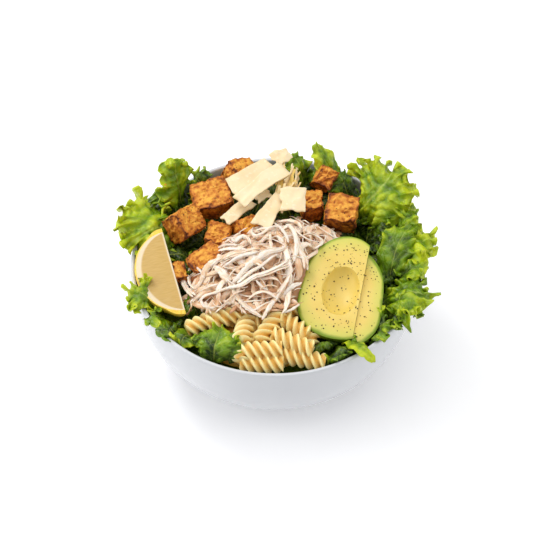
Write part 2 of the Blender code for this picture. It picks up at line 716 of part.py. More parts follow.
def make_fusillo(name, centre, heading, slope, length):
    """A three-lobed cross-section, turned as it runs along X."""
    bm = bmesh.new()
    steps = round(length / PASTA_PITCH * 8)
    rings = []
    for i in range(steps + 1):
        x = (i / steps - 0.5) * length
        turn = math.tau * x / PASTA_PITCH
        ring = []
        for k in range(6):
            radius = PASTA_RADIUS if k % 2 == 0 else PASTA_RADIUS * 0.5
            angle = turn + math.tau * k / 6
            ring.append(bm.verts.new((x, radius * math.cos(angle), radius * math.sin(angle))))
        rings.append(ring)
    for near, far in zip(rings, rings[1:]):
        for k in range(6):
            bm.faces.new((near[k], near[(k + 1) % 6], far[(k + 1) % 6], far[k]))
    bm.faces.new(list(reversed(rings[0])))
    bm.faces.new(rings[-1])
    return make_object(name, placed(bm, centre, (0, -slope, heading)))


def make_pasta(material):
    pasta = make_pasta_core(material)
    pieces = [make_fusillo(f"fusillo_{i}", *row) for i, row in enumerate(FUSILLI)]
    combine(pasta, "UNION", pieces)
    drop_short_edges(pasta, SHORTEST)
    return pasta


# Assembly: firm pieces first, then each heap gives way to what lies on it

def build():
    clear_scene()
    noise.seed_set(CRAG_SEED)
    bowl = make_bowl(principled("white_glaze", (0.80, 0.80, 0.80), 0.25))
    lemon = make_lemon(principled("lemon", (0.86, 0.66, 0.25), 0.4))
    avocado = make_avocado(principled("avocado", (0.72, 0.66, 0.22), 0.45))
    bread = principled("toasted_bread", (0.55, 0.25, 0.06), 0.8)
    croutons = [make_crouton(name, *row, bread) for name, row in CROUTONS.items()]
    cheese = principled("parmesan", (0.86, 0.74, 0.47), 0.5)
    shavings = [make_shaving(name, *row, cheese) for name, row in SHAVINGS.items()]
    firm = [lemon, *avocado, *croutons, *shavings]
    chicken = make_chicken(principled("chicken", (0.80, 0.62, 0.48), 0.55))
    give_way(chicken, [lemon, *avocado, *croutons, *shavings])
    pasta = make_pasta(principled("pasta", (0.82, 0.62, 0.28), 0.45))
    mound = make_mound("mound")
    give_way(pasta, [bowl, *avocado, mound])
    bpy.data.objects.remove(mound, do_unlink=True)
    lettuce = make_lettuce(principled("lettuce", (0.22, 0.40, 0.05), 0.5))
    give_way(lettuce, [bowl, *firm, chicken, pasta])


build()
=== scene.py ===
"""A chicken caesar salad in a deep white bowl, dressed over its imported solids.

Sizes are millimetres, as in the part's source, and add_piece turns them to metres.
"""

import random
from math import acos, atan2, copysign, cos, exp, hypot, pi, radians, sin, sqrt, tau

import bmesh
import bpy
from mathutils import Euler, Matrix, Vector, noise


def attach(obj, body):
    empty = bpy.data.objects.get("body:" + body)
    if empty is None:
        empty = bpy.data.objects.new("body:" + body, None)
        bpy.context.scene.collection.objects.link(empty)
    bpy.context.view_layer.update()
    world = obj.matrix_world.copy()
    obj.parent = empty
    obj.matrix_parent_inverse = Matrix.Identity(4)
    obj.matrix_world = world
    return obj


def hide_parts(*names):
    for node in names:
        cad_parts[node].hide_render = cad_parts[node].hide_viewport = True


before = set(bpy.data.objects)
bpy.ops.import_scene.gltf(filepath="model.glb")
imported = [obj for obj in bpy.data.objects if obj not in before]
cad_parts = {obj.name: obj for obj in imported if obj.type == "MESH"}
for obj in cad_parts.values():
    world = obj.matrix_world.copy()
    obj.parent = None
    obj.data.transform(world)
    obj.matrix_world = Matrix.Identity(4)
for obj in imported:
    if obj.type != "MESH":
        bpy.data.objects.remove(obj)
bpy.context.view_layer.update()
scene = bpy.context.scene
scene.view_settings.view_transform = "Standard"
noise.seed_set(4)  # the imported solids' torn corners come from this seed


# The studio: a sheet of opal acrylic under the bowl, lit faintly from below, four soft round
# lights and pale surroundings on all sides. The camera looks down at 50 degrees from the front.

def linear(hex_colour):
    """An sRGB hex colour as linear red, green, blue and alpha."""
    parts = [int(hex_colour[i : i + 2], 16) / 255 for i in (0, 2, 4)]
    return tuple(c / 12.92 if c <= 0.04045 else ((c + 0.055) / 1.055) ** 2.4 for c in parts) + (1.0,)


def add_node(tree, kind, settings=None, links=None):
    """Adds a shader node. A setting is a socket's value or a property; a link is what feeds a socket."""
    node = tree.nodes.new(f"ShaderNode{kind}")
    for name, value in (settings or {}).items():
        if isinstance(name, str) and hasattr(node, name):
            setattr(node, name, value)
        else:
            node.inputs[name].default_value = value
    for name, source in (links or {}).items():
        tree.links.new(source, node.inputs[name])
    return node


def new_material(name, roughness, ior):
    """A Principled material with its tree, its shader and the object's own coordinates."""
    material = bpy.data.materials.new(name)
    material.use_nodes = True
    tree = material.node_tree
    shader = tree.nodes["Principled BSDF"]
    shader.inputs["Roughness"].default_value = roughness
    shader.inputs["IOR"].default_value = ior
    return material, tree, shader, add_node(tree, "TexCoord").outputs["Object"]


def noise_texture(tree, scale, detail, place):
    settings = {"Scale": scale, "Detail": detail}
    return add_node(tree, "TexNoise", settings, {"Vector": place}).outputs[0]


def mix_colours(tree, share, first, second):
    """Mixes two colours by a share. Each is an sRGB hex colour or a socket."""
    mix = add_node(tree, "Mix", {"data_type": "RGBA"}, {0: share})
    for socket, colour in ((mix.inputs[6], first), (mix.inputs[7], second)):
        if isinstance(colour, str):
            socket.default_value = linear(colour)
        else:
            tree.links.new(colour, socket)
    return mix.outputs[2]


def new_mesh(name, bm, material):
    mesh = bpy.data.meshes.new(name)
    bm.to_mesh(mesh)
    bm.free()
    mesh.materials.append(material)
    return mesh


def in_scene(name, data):
    """A new object in the scene for a mesh, a light or the camera."""
    made = bpy.data.objects.new(name, data)
    scene.collection.objects.link(made)
    return made


# Opal acrylic with a faint light below it, as a product table has: the shadow stays pale
acrylic, tree, shader, place = new_material("opal_acrylic", 0.85, 1.45)
shader.inputs["Emission Color"].default_value = linear("FAFAFC")
shader.inputs["Emission Strength"].default_value = 0.13
mottle = noise_texture(tree, 9.0, 3.0, place)
white = mix_colours(tree, mottle, "F7F7F8", "FAFAFB")
tree.links.new(white, shader.inputs["Base Color"])

bm = bmesh.new()
bmesh.ops.create_grid(bm, x_segments=8, y_segments=8, size=4.0)
floor = in_scene("acrylic_floor", new_mesh("acrylic_floor", bm, acrylic))

surroundings = bpy.data.worlds.new("pale_surroundings")
scene.world = surroundings
surroundings.use_nodes = True
sky = surroundings.node_tree.nodes["Background"]
sky.inputs["Color"].default_value = linear("FAFAFB")
sky.inputs["Strength"].default_value = 0.52

# Each light: where it stands, how wide it is in metres and its power in watts
for name, where, size, power in (
    ("window", (-0.55, 0.55, 1.05), 0.5, 5.0),
    ("ceiling", (0.0, 0.0, 1.5), 1.5, 9.0),
    ("left_wall", (-1.15, -0.10, 0.50), 0.9, 5.5),
    ("right_wall", (1.15, -0.10, 0.50), 0.9, 3.5),
):
    light = bpy.data.lights.new(name, "AREA")
    light.shape = "DISK"
    light.size = size
    light.energy = power
    lamp = in_scene(name, light)
    lamp.location = where
    lamp.rotation_euler = (Vector((0, 0, 0.07)) - Vector(where)).to_track_quat("-Z", "Y").to_euler()

CAMERA_DISTANCE = 1.0
CAMERA_RISE = radians(49.67)
AIM = Vector((0.0, 0.0, 0.0702))
camera_data = bpy.data.cameras.new("camera")
camera_data.sensor_width = 36.0
camera_data.lens = 88.8
camera = in_scene("camera", camera_data)
camera.location = AIM + CAMERA_DISTANCE * Vector((0, -cos(CAMERA_RISE), sin(CAMERA_RISE)))
camera.rotation_euler = (pi / 2 - CAMERA_RISE, 0, 0)
scene.camera = camera


# Bowl: slip-cast porcelain with a full round belly, a thin rounded lip and a low foot ring.
# It is dipped in clear glaze all over and wiped clean under the foot, where it stood in the kiln.

MM = 0.001
RIM_RADIUS = 105.0
BOWL_HEIGHT = 88.0
WALL = 3.2
FULLNESS = 2.7  # exponent of the wall's curve: 2 is a round bowl, more is fuller
FOOT_CUT = 3.0
INSIDE_BOTTOM = 6.0
FOOT_RING = 5.0
FOOT_RECESS = 1.5
WALL_STEPS = 30
CLIMB_POWER = 1.9  # the steps up the wall are closest near the foot, where it curves most


def add_piece(name, bm, material, stands_for=(), sharp_angle=180):
    """Turns a bmesh in millimetres into a piece in metres. Edges sharper than an angle stay sharp."""
    bmesh.ops.scale(bm, vec=(MM, MM, MM), verts=bm.verts)
    mesh = new_mesh(name, bm, material)
    mesh.shade_smooth()
    mesh.set_sharp_from_angle(angle=radians(sharp_angle))
    piece = in_scene(name, mesh)
    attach(piece, "root")
    if stands_for:
        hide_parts(*stands_for)
    return piece


def outer_radius(z):
    depth = (BOWL_HEIGHT - z) / (BOWL_HEIGHT + FOOT_CUT)
    return RIM_RADIUS * (1 - depth**FULLNESS) ** (1 / FULLNESS)


def inner_radius(z):
    depth = min(1.0, (BOWL_HEIGHT - z) / (BOWL_HEIGHT - INSIDE_BOTTOM))
    return (RIM_RADIUS - WALL) * (1 - depth**FULLNESS) ** (1 / FULLNESS)


def welded(bm, gap):
    """Joins the vertices closer than a gap and turns the faces outwards."""
    bmesh.ops.remove_doubles(bm, verts=bm.verts, dist=gap)
    bmesh.ops.recalc_face_normals(bm, faces=bm.faces)
    return bm


def spun(profile, sides):
    """A closed solid of revolution from radius and height pairs that start and end on the axis."""
    bm = bmesh.new()
    chain = [bm.verts.new((radius, 0.0, z)) for radius, z in profile]
    edges = [bm.edges.new(pair) for pair in zip(chain, chain[1:])]
    bmesh.ops.spin(
        bm, geom=chain + edges, axis=(0, 0, 1), cent=(0, 0, 0), angle=tau, steps=sides, use_merge=True
    )
    return welded(bm, 0.01)


foot = outer_radius(0.0)
inner_foot = foot - FOOT_RING
profile = [
    (0.0, FOOT_RECESS), (foot * 0.5, FOOT_RECESS), (inner_foot - 1, FOOT_RECESS), (inner_foot, 1.2),
    (inner_foot + 0.9, 0.3), (inner_foot + 1.5, 0.0), (foot - 1.0, 0.0),
]
lip = WALL / 2
lip_height = BOWL_HEIGHT - lip
climb = [(i / WALL_STEPS) ** CLIMB_POWER for i in range(WALL_STEPS)]
profile += [(outer_radius(lip_height * part), lip_height * part) for part in climb[4:]]
for i in range(9):
    turn = pi * i / 8
    profile.append((RIM_RADIUS - lip + lip * cos(turn), lip_height + lip * sin(turn)))
inside = [INSIDE_BOTTOM + (lip_height - INSIDE_BOTTOM) * part for part in climb[:2:-1]]
profile += [(inner_radius(z), z) for z in inside] + [(0.0, INSIDE_BOTTOM)]


def map_range(tree, value, from_min, from_max, to_min=0.0, to_max=1.0):
    ends = {"From Min": from_min, "From Max": from_max, "To Min": to_min, "To Max": to_max}
    return add_node(tree, "MapRange", ends, {"Value": value}).outputs[0]


def coat(tree, shader, colour, height, strength, distance):
    """Gives the shader its colour and its relief, a height from 0 to 1 with its distance in metres."""
    settings = {"Strength": strength, "Distance": distance}
    relief = add_node(tree, "Bump", settings, {"Height": height})
    tree.links.new(relief.outputs[0], shader.inputs["Normal"])
    tree.links.new(colour, shader.inputs["Base Color"])


# Clear-glazed porcelain: cool white, a soft sheen, faint unevenness, matt under the foot
porcelain, tree, shader, place = new_material("glazed_porcelain", 0.2, 1.5)
height = add_node(tree, "SeparateXYZ", None, {0: place})
bare = map_range(tree, height.outputs["Z"], 0.0006, 0.0002)
pooling = noise_texture(tree, 38.0, 2.0, place)
glaze = mix_colours(tree, pooling, "C8CACE", "D1D3D6")
body = mix_colours(tree, bare, glaze, "E4DED2")
gloss = map_range(tree, pooling, 0.0, 1.0, 0.14, 0.24)
finish = add_node(tree, "Mix", {3: 0.7}, {0: bare, 2: gloss})
tree.links.new(finish.outputs[0], shader.inputs["Roughness"])
coat(tree, shader, body, pooling, 0.06, 0.0006)

add_piece("porcelain_bowl", spun(profile, 144), porcelain, ["bowl"], sharp_angle=50)


# Lettuce: frilled green leaves pushed down round the rim, on a bed of dark torn leaves that
# fills the bowl. A leaf is thin, blistered between its veins and ruffled along its margin.

LEAF_THICKNESS = 0.8
BED_HEIGHT = 74.0
BED_RADIUS = 92
TORN_LEAVES = 90
GOLDEN_ANGLE = pi * (3 - sqrt(5))  # spreads spots evenly over a disc
DROOP_HEIGHT = 119.0  # above this the thin margins hang over

# Each leaf: stalk end, bend and tip of its spine, width, roll in degrees, depth of the frill,
# waves round the edge, phase, and how bright its green is
LEAVES = {
    "back_left_upright": ((-66, 56, 70), (-74, 62, 100), (-74, 70, 121), 30, 20, 3.0, 5, 0.4, 0.74),
    "left_fan": ((-70, 36, 72), (-80, 31, 107), (-109, 8, 91), 62, -24, 4.6, 9, 1.1, 0.92),
    "left_front_curl": ((-82, -38, 74), (-90, -42, 104), (-104, -33, 95), 30, -8, 3.0, 5, 2.0, 0.96),
    "left_low_frill": ((-72, -46, 68), (-84, -54, 92), (-86, -50, 88), 28, 0, 2.0, 5, 0.9, 0.84),
    "left_rim_dark": ((-60, -64, 66), (-72, -68, 90), (-75, -59, 86), 26, 0, 1.4, 5, 1.7, 0.46),
    "front_left_curl": ((-50, -62, 66), (-65, -64, 96), (-66, -77, 80), 26, 5, 0.6, 3, 0.2, 1.08),
    "front_left_dark": ((-42, -84, 66), (-44, -91, 98), (-37, -67, 94), 42, -8, 1.7, 6, 2.6, 0.62),
    "behind_lemon": ((-50, -50, 66), (-58, -43, 88), (-60, -33, 87), 18, 0, 1.5, 4, 1.9, 0.78),
    "back_blade": ((22, 76, 70), (22, 80, 100), (14, 90, 106), 24, 15, 1.8, 4, 0.7, 0.55),
    "back_stalk": ((54, 74, 72), (42, 80, 104), (30, 91, 115), 19, -12, 1.6, 4, 1.3, 0.72),
    "back_right_dark": ((60, 62, 70), (54, 70, 98), (46, 76, 100), 26, 0, 2.0, 4, 1.0, 0.40),
    "right_back_big": ((58, 46, 78), (73, 41, 114), (93, 65, 120), 62, 8, 4.6, 7, 0.3, 0.74),
    "right_back_dark": ((66, 34, 70), (75, 34, 100), (85, 36, 98), 36, 0, 3.0, 5, 1.9, 0.40),
    "right_curl": ((84, 26, 74), (92, 22, 106), (103, 31, 104), 26, 5, 2.8, 5, 1.5, 0.55),
    "right_spiked": ((80, 6, 72), (96, 4, 106), (115.9, 10, 98), 36, -6, 3.4, 6, 2.2, 0.80),
    "right_long": ((82, -26, 72), (82, -2, 108), (99, 18, 104), 27, 10, 1.6, 4, 0.8, 0.50),
    "right_spike_low": ((84, -14, 74), (96, -18, 104), (109, -16, 97), 20, 0, 2.2, 4, 2.6, 0.62),
    "right_front_frill": ((76, -34, 72), (90, -38, 110), (110, -42, 93), 46, -4, 4.0, 6, 1.7, 0.70),
    "right_low_dark": ((74, -50, 68), (84, -50, 98), (92, -52, 92), 34, 0, 3.2, 5, 0.6, 0.52),
    "front_right_frill": ((62, -58, 66), (72, -64, 96), (80, -62, 90), 30, 6, 3.0, 5, 0.5, 0.60),
    "front_right_hanging": ((46, -66, 68), (54, -82, 108), (66, -95, 90), 11, 0, 1.0, 3, 2.9, 0.95),
    "front_right_dark": ((40, -70, 64), (44, -80, 92), (52, -84, 88), 30, 0, 3.0, 5, 1.2, 0.48),
    "by_pasta": ((30, -66, 66), (31, -72, 88), (36, -80, 86), 20, 0, 2.0, 4, 2.4, 0.44),
    "back_left_dark": ((-50, 70, 70), (-56, 74, 98), (-62, 76, 97), 28, 0, 2.4, 4, 0.1, 0.42),
}


def smoothstep(low, high, x):
    t = min(1.0, max(0.0, (x - low) / (high - low)))
    return t * t * (3 - 2 * t)


def hollow(x, y):
    """1 under the pasta, chicken and avocado, 0 where lettuce or croutons lie on the bed."""
    middle = smoothstep(1.25, 0.85, hypot((x + 10) / 60, (y + 40) / 52))
    right = smoothstep(1.25, 0.85, hypot((x - 47) / 32, (y + 33) / 42))
    return max(middle, right)


def clear_of_bowl(point):
    """Moves a leaf's point off the bowl: inwards below the lip, up over it."""
    radius = hypot(point.x, point.y)
    limit = inner_radius(min(point.z, BOWL_HEIGHT - 2.0)) - 2.0
    if radius <= limit:
        return point
    if point.z < BOWL_HEIGHT - 6.0 and radius < RIM_RADIUS + 1.0:
        return Vector((point.x * limit / radius, point.y * limit / radius, point.z))
    over_lip = BOWL_HEIGHT + 2.4 - max(0.0, radius - RIM_RADIUS - 5.0)
    return Vector((point.x, point.y, max(point.z, over_lip)))


def crumple(leaf, x, y):
    """How far the blade puckers out of its plane: sharp valleys along the veins, round crests between."""
    base, bend, tip, width, *_, phase = leaf
    spot = Vector((x * width / 2, y * (tip - base).length / 2, 31 * phase))
    large, small = abs(noise.noise(spot / 12.0)), abs(noise.noise(spot / 6.0))
    return 6.0 * (large - 0.25) + 3.6 * (small - 0.25) + 0.8 * noise.noise(spot / 2.8)


def leaf_point(leaf, x, y):
    """A point of a leaf's middle surface. x and y run over a unit disc: y from stalk to tip, x across."""
    base, bend, tip, width, roll, frill, waves, phase = leaf
    along = (1 + y) / 2
    spine = base * (1 - along) ** 2 + bend * 2 * along * (1 - along) + tip * along**2
    heading = ((bend - base) * (1 - along) + (tip - bend) * along).normalized()
    side = heading.cross(Vector((0, 0, 1)))
    if side.length < 0.05:
        side = Vector((1, 0, 0))
    side = (Matrix.Rotation(radians(roll), 3, heading) @ side).normalized()
    face = side.cross(heading).normalized()
    rho, theta = hypot(x, y), atan2(x, y)
    open_blade = 0.34 + 0.66 * smoothstep(0.0, 0.55, along)
    wander = 2.5 * noise.noise(Vector((x * 1.7, y * 1.7, phase)))
    lobes = 1 + 0.09 * rho**2 * sin(waves * theta * 1.4 + phase)
    lobes += 0.06 * rho**5 * sin(waves * 3.1 * theta + 4 * phase + wander)
    edge = rho**3 * smoothstep(0.05, 0.4, along)
    swell = sin(waves * theta + phase) + 0.35 * sin(2.3 * waves * theta + 2 * phase)
    ruffle = frill * edge * swell
    gather = 1.7 * frill * min(1.0, width / 34) * rho**3 * smoothstep(0.02, 0.3, along)
    curl = 3.1 * waves * theta + 5 * phase + wander
    crimp = 7.3 * waves * theta + phase + 2 * wander
    ruffle += gather * (0.75 * rho * sin(curl) + 0.22 * rho**3 * sin(crimp))
    swing = gather * (0.50 * rho * cos(curl) + 0.18 * rho**3 * cos(crimp))
    sideways = (side * cos(theta) - heading * sin(theta)) * swing
    rib = -0.8 * exp(-((x / 0.07) ** 2)) * (1 - along)
    cup = -0.12 * width * x * x
    outward = heading * (lobes - 1) * y * (tip - base).length * 0.3
    across = side * x * width / 2 * open_blade * lobes
    folds = crumple(leaf, x, y) * (0.35 + 0.65 * rho) * (0.4 + 0.24 * min(frill, 3.4))
    point = spine + across + face * (ruffle + cup + rib + folds) + outward + sideways
    point.z -= 0.7 * max(0.0, point.z - DROOP_HEIGHT)
    return clear_of_bowl(point)


def add_leaf(bm, leaf, squares, brightness):
    """Lays one leaf as a square grid bent to a disc, with its tone on the corners and its blade map."""
    base, bend, tip, *rest = leaf
    leaf = (Vector(base), Vector(bend), Vector(tip), *rest)
    tone = bm.verts.layers.float["tone"]
    made = bmesh.ops.create_grid(bm, x_segments=squares, y_segments=squares, size=1.0, calc_uvs=True)
    for vertex in made["verts"]:
        u, v = vertex.co.x, vertex.co.y
        x, y = u * sqrt(1 - v * v / 2), v * sqrt(1 - u * u / 2)
        vertex.co = leaf_point(leaf, x, y)
        rho = hypot(x, y)
        # Tone: blotched at random and paler towards the margin, with painted shade in the creases of the
        # folds and painted shade that deepens lower in the bowl
        blotch_and_crease_shade = 0.30 * noise.noise(vertex.co / 8.0) + 0.13 * crumple(leaf, x, y) + 0.14 * rho**8
        painted_depth_shade = 0.40 * smoothstep(100, 82, vertex.co.z)
        vertex[tone] = brightness * (0.72 + 0.42 * rho * rho) + blotch_and_crease_shade - painted_depth_shade


def toned_bmesh():
    """A bmesh with a UV map and a tone on each corner, which the materials read."""
    bm = bmesh.new()
    bm.loops.layers.uv.new("blade")
    bm.verts.layers.float.new("tone")
    return bm


def thicken(piece, name, thickness, offset):
    wall = piece.modifiers.new(name, "SOLIDIFY")
    wall.thickness = thickness * MM
    wall.offset = offset


def lit_through(shader, weight, radius, scale):
    """Lets light in under the surface: how much, how far each colour goes, and the scale in metres."""
    for name, value in (("Weight", weight), ("Radius", radius), ("Scale", scale)):
        shader.inputs[f"Subsurface {name}"].default_value = value


def corner_tone(tree):
    return add_node(tree, "Attribute", {"attribute_name": "tone"}).outputs["Fac"]


def math_node(tree, operation, *values, clamp=False):
    """One sum or comparison of numbers and sockets."""
    node = add_node(tree, "Math", {"operation": operation, "use_clamp": clamp})
    for socket, value in zip(node.inputs, values):
        if isinstance(value, float):
            socket.default_value = value
        else:
            tree.links.new(value, socket)
    return node.outputs[0]


def three_colours(tree, level, low, middle, high):
    """Runs from a low colour over a middle one at half level to a high one."""
    lower = mix_colours(tree, map_range(tree, level, 0.0, 0.5), low, middle)
    return mix_colours(tree, map_range(tree, level, 0.5, 1.0), lower, high)


# Fresh lettuce leaf: waxy yellow-green, paler veins, blisters between them, and light that
# comes through the thin blade and warms it
leaf_green, tree, shader, place = new_material("fresh_lettuce_leaf", 0.36, 1.42)
lit_through(shader, 0.25, (0.6, 1.0, 0.15), 0.0016)
blade = add_node(tree, "UVMap", {"uv_map": "blade"})
# The corner tone carries painted shade in the leaves' creases and deep in the bowl
tone = corner_tone(tree)
wobble = noise_texture(tree, 110.0, 2.0, place)
split = add_node(tree, "SeparateXYZ", None, {0: blade.outputs["UV"]})
centred = math_node(tree, "SUBTRACT", split.outputs["X"], 0.5)
off_rib = math_node(tree, "ABSOLUTE", centred)
rib_width = math_node(tree, "MULTIPLY_ADD", split.outputs["Y"], -0.045, 0.055)
smooth = {"interpolation_type": "SMOOTHSTEP", "To Min": 1.0, "To Max": 0.0}
rib = add_node(tree, "MapRange", smooth, {"Value": off_rib, "From Max": rib_width})
slanted = math_node(tree, "MULTIPLY_ADD", off_rib, -0.9, split.outputs["Y"])
bent = math_node(tree, "MULTIPLY_ADD", wobble, 0.16, slanted)
spaced = math_node(tree, "MULTIPLY", bent, 6.5)
to_vein = math_node(tree, "PINGPONG", spaced, 0.5)
fainter = {**smooth, "From Max": 0.08, "To Min": 0.45}
side_vein = add_node(tree, "MapRange", fainter, {"Value": to_vein})
veins = math_node(tree, "MAXIMUM", rib.outputs[0], side_vein.outputs[0])
# Blisters between the smallest veins, about 4 mm across
to_edge = {"feature": "DISTANCE_TO_EDGE", "Scale": 240.0}
cells = add_node(tree, "TexVoronoi", to_edge, {"Vector": place})
net = map_range(tree, cells.outputs[0], 0.0, 0.14, 0.22, 0.0)
patches = math_node(tree, "MULTIPLY_ADD", wobble, 0.34, -0.17)
level = math_node(tree, "ADD", tone, patches, clamp=True)
fresh = three_colours(tree, level, "20380A", "6C9008", "C2CE22")
netted = mix_colours(tree, net, fresh, "90A81C")
vein_share = math_node(tree, "MULTIPLY", veins, 0.42)
veined = mix_colours(tree, vein_share, netted, "BFCC5C")
puff = map_range(tree, cells.outputs[0], 0.0, 0.4)
relief = math_node(tree, "MULTIPLY_ADD", veins, -0.8, puff)
coat(tree, shader, veined, relief, 0.55, 0.0007)

bm = toned_bmesh()
for *leaf, brightness in LEAVES.values():
    add_leaf(bm, leaf, 26 + round(leaf[3] / 2.4), brightness)
leaves = add_piece("lettuce_leaves", bm, leaf_green, ["lettuce"])
thicken(leaves, "leaf_thickness", LEAF_THICKNESS, 0.0)

# The torn leaves of the bed, small and dark, standing at all angles between the larger ones
rng = random.Random(3)
bm = toned_bmesh()
for number in range(TORN_LEAVES):
    angle = number * GOLDEN_ANGLE
    radius = BED_RADIUS * sqrt((number + 0.5) / TORN_LEAVES)
    x, y = radius * cos(angle), radius * sin(angle)
    if hollow(x, y) > 0.45:
        continue
    heading = angle + rng.gauss(0, 0.9)
    reach = rng.uniform(9, 15)
    dx, dy = reach * cos(heading), reach * sin(heading)
    top = rng.uniform(83, 90) if radius > 55 else rng.uniform(79, 84)
    leaf = (
        (x - dx, y - dy, 71), (x, y, top + 4), (x + dx * 0.7, y + dy * 0.7, top - 3),
        rng.uniform(20, 34), rng.uniform(-35, 35), rng.uniform(2.0, 3.6), 5, rng.uniform(0, 6),
    )
    add_leaf(bm, leaf, 17, rng.uniform(0.22, 0.5))
# One stands against the wall between the left fan and the upright leaf behind it
add_leaf(bm, ((-76, 42, 70), (-83, 46, 92), (-85, 44, 100), 36, 0, 3.0, 5, 1.2), 24, 0.46)
torn = add_piece("torn_lettuce_bed", bm, leaf_green)
thicken(torn, "leaf_thickness", LEAF_THICKNESS, 0.0)

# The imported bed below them, a crumpled mass whose top only shows as darkness between leaves
wall = [INSIDE_BOTTOM + 66 * (i / 12) ** 1.9 for i in range(1, 12)]
packed = [(0.0, INSIDE_BOTTOM + 0.8)] + [(inner_radius(z) - 1.3, z) for z in wall]
packed += [(inner_radius(69.0) - 1.6, 69.0)] + [(radius, BED_HEIGHT) for radius in range(93, 2, -3)]
packed.append((0.0, BED_HEIGHT))
bm = spun(packed, 96)
tone_layer = bm.verts.layers.float.new("tone")
for vertex in bm.verts:
    if vertex.co.z > BED_HEIGHT - 0.5:
        x, y = vertex.co.x, vertex.co.y
        lumps = 2.2 * noise.noise(Vector((x, y, 3.0)) / 16.0) + 1.6 * noise.noise(Vector((x, y, 9.0)) / 4.0)
        vertex.co.z = BED_HEIGHT - 6.0 * hollow(x, y) + lumps - 1.0
    vertex[tone_layer] = 0.22 + 0.12 * noise.noise(vertex.co / 8.0)
add_piece("packed_lettuce", bm, leaf_green)


# Pasta: fusilli boiled soft, three thick blades twisted round each other, cut square at the ends.
# They lie across each other in front, slick with a little dressing.

PASTA_RADIUS = 6.8
PASTA_PITCH = 17.5

# Each fusillo: centre, heading and slope in degrees, length
FUSILLI = (
    ((-9, -90.5, 83), -3, 2, 30),
    ((20, -87, 84), -10, -4, 30),
    ((-9, -84, 89), 3, 0, 28),
    ((12, -78, 91), -24, -4, 30),
    ((11, -60, 90), -42, -4, 32),
    ((-3, -65, 90), 57, 4, 30),
    ((-21, -67, 89), 78, -14, 26),
    ((-33, -56, 90), 20, 0, 30),
    ((-50, -58, 87), 24, 6, 26),
    ((-20, -79, 84), 70, -6, 24),
    ((4, -84, 80), 40, 0, 26),
    ((-34, -70, 80), -30, 0, 26),
    ((24, -72, 81), 70, 0, 26),
    ((-8, -72, 81), 10, 0, 28),
    ((-22, -54, 84), -20, 0, 26),
    ((2, -50, 86), 15, 0, 28),
)


def add_fusillo(bm, centre, heading, slope, length, seed):
    """Rolls a grid into a twisted three-lobed rod along X, then turns and moves it."""
    steps, around = 64, 30
    made = bmesh.ops.create_grid(bm, x_segments=steps, y_segments=around, size=0.5, calc_uvs=True)
    tone = bm.verts.layers.float["tone"]
    turn = Euler((0, radians(-slope), radians(heading))).to_matrix()
    sag = 1.2 * noise.noise(Vector((seed, 0.5, 0)))
    for vertex in made["verts"]:
        column = round((vertex.co.x + 0.5) * steps)
        share = (vertex.co.y + 0.5) % 1.0
        inner = min(max(column, 1), steps - 1)
        x = ((inner - 1) / (steps - 2) - 0.5) * length
        lobe = abs(cos(1.5 * tau * share)) ** 2.2
        near_end = min(1.0, (length / 2 - abs(x)) / 2.5)
        soft = 1 + 0.09 * noise.noise(Vector((x / 5, 3 * share, seed)))
        radius = PASTA_RADIUS * (0.48 + 0.52 * lobe) * soft * (0.88 + 0.12 * near_end)
        if column in (0, steps):
            radius = 0.0
        angle = tau * share + tau * x / PASTA_PITCH
        bow = sag * (1 - (2 * x / length) ** 2)
        spot = Vector((x, radius * cos(angle) + bow, radius * sin(angle)))
        vertex.co = Vector(centre) + turn @ spot
        # Painted shade: the tone is lowest in the grooves between the blades and highest on their crests
        vertex[tone] = 0.03 + 0.97 * lobe


# Boiled durum pasta: pale warm yellow, with painted shade deep in the grooves between the blades and lighter
# crests, a damp sheen and a soft inner glow
durum, tree, shader, place = new_material("boiled_durum_pasta", 0.38, 1.45)
lit_through(shader, 0.15, (1.0, 0.7, 0.3), 0.0015)
tone = corner_tone(tree)
flour = noise_texture(tree, 260.0, 5.0, place)
damp = noise_texture(tree, 60.0, 2.0, place)
mottled = math_node(tree, "MULTIPLY_ADD", flour, 0.5, -0.25)
level = math_node(tree, "ADD", tone, mottled, clamp=True)
dough_and_groove_shade = mix_colours(tree, level, "E1AA44", "FFEFAC")
gloss = map_range(tree, damp, 0.0, 1.0, 0.22, 0.52)
tree.links.new(gloss, shader.inputs["Roughness"])
coat(tree, shader, dough_and_groove_shade, flour, 0.25, 0.0003)

bm = toned_bmesh()
for number, (centre, heading, slope, length) in enumerate(FUSILLI):
    add_fusillo(bm, centre, heading, slope, length, number)
core = bmesh.ops.create_uvsphere(bm, u_segments=40, v_segments=20, radius=1.0)["verts"]
for vertex in core:
    x, y, z = vertex.co
    vertex.co = Vector((-10 + 40 * x, -67 + 20.5 * y, 73 + 8.5 * z))
    vertex.co += 1.2 * noise.noise_vector(vertex.co / 6.0)
add_piece("fusilli", welded(bm, 0.0001), durum, ["pasta"], sharp_angle=60)


# Chicken: poached breast pulled apart by hand along its grain, in flat shreds and fine threads
# thrown loosely over each other on a mound.

MOUND_CENTRE = Vector((-7, -12.5))
MOUND_SIZE = (60, 41)
MOUND_HEADING = radians(27)
MOUND_FOOT = 66.0
MOUND_EDGE = 90.0
MOUND_TOP = 109.0
MOUND_LEAN = 0.09
PASTA_BACK = -48.0
OVER_PASTA = 101.0
AVOCADO_CENTRE = (47.8, -34, 97.8)
AVOCADO_TURN = (14, 2, -11)
AVOCADO_LENGTH = 81.0
AVOCADO_RADIUS = 28.6


def mound_top(x, y):
    dx, dy = x - MOUND_CENTRE.x, y - MOUND_CENTRE.y
    u = dx * cos(MOUND_HEADING) + dy * sin(MOUND_HEADING)
    v = dy * cos(MOUND_HEADING) - dx * sin(MOUND_HEADING)
    share = hypot(u / MOUND_SIZE[0], v / MOUND_SIZE[1])
    height = MOUND_EDGE + (MOUND_TOP - MOUND_EDGE) * (1 - min(1.3, share) ** 2)
    return height + MOUND_LEAN * dx


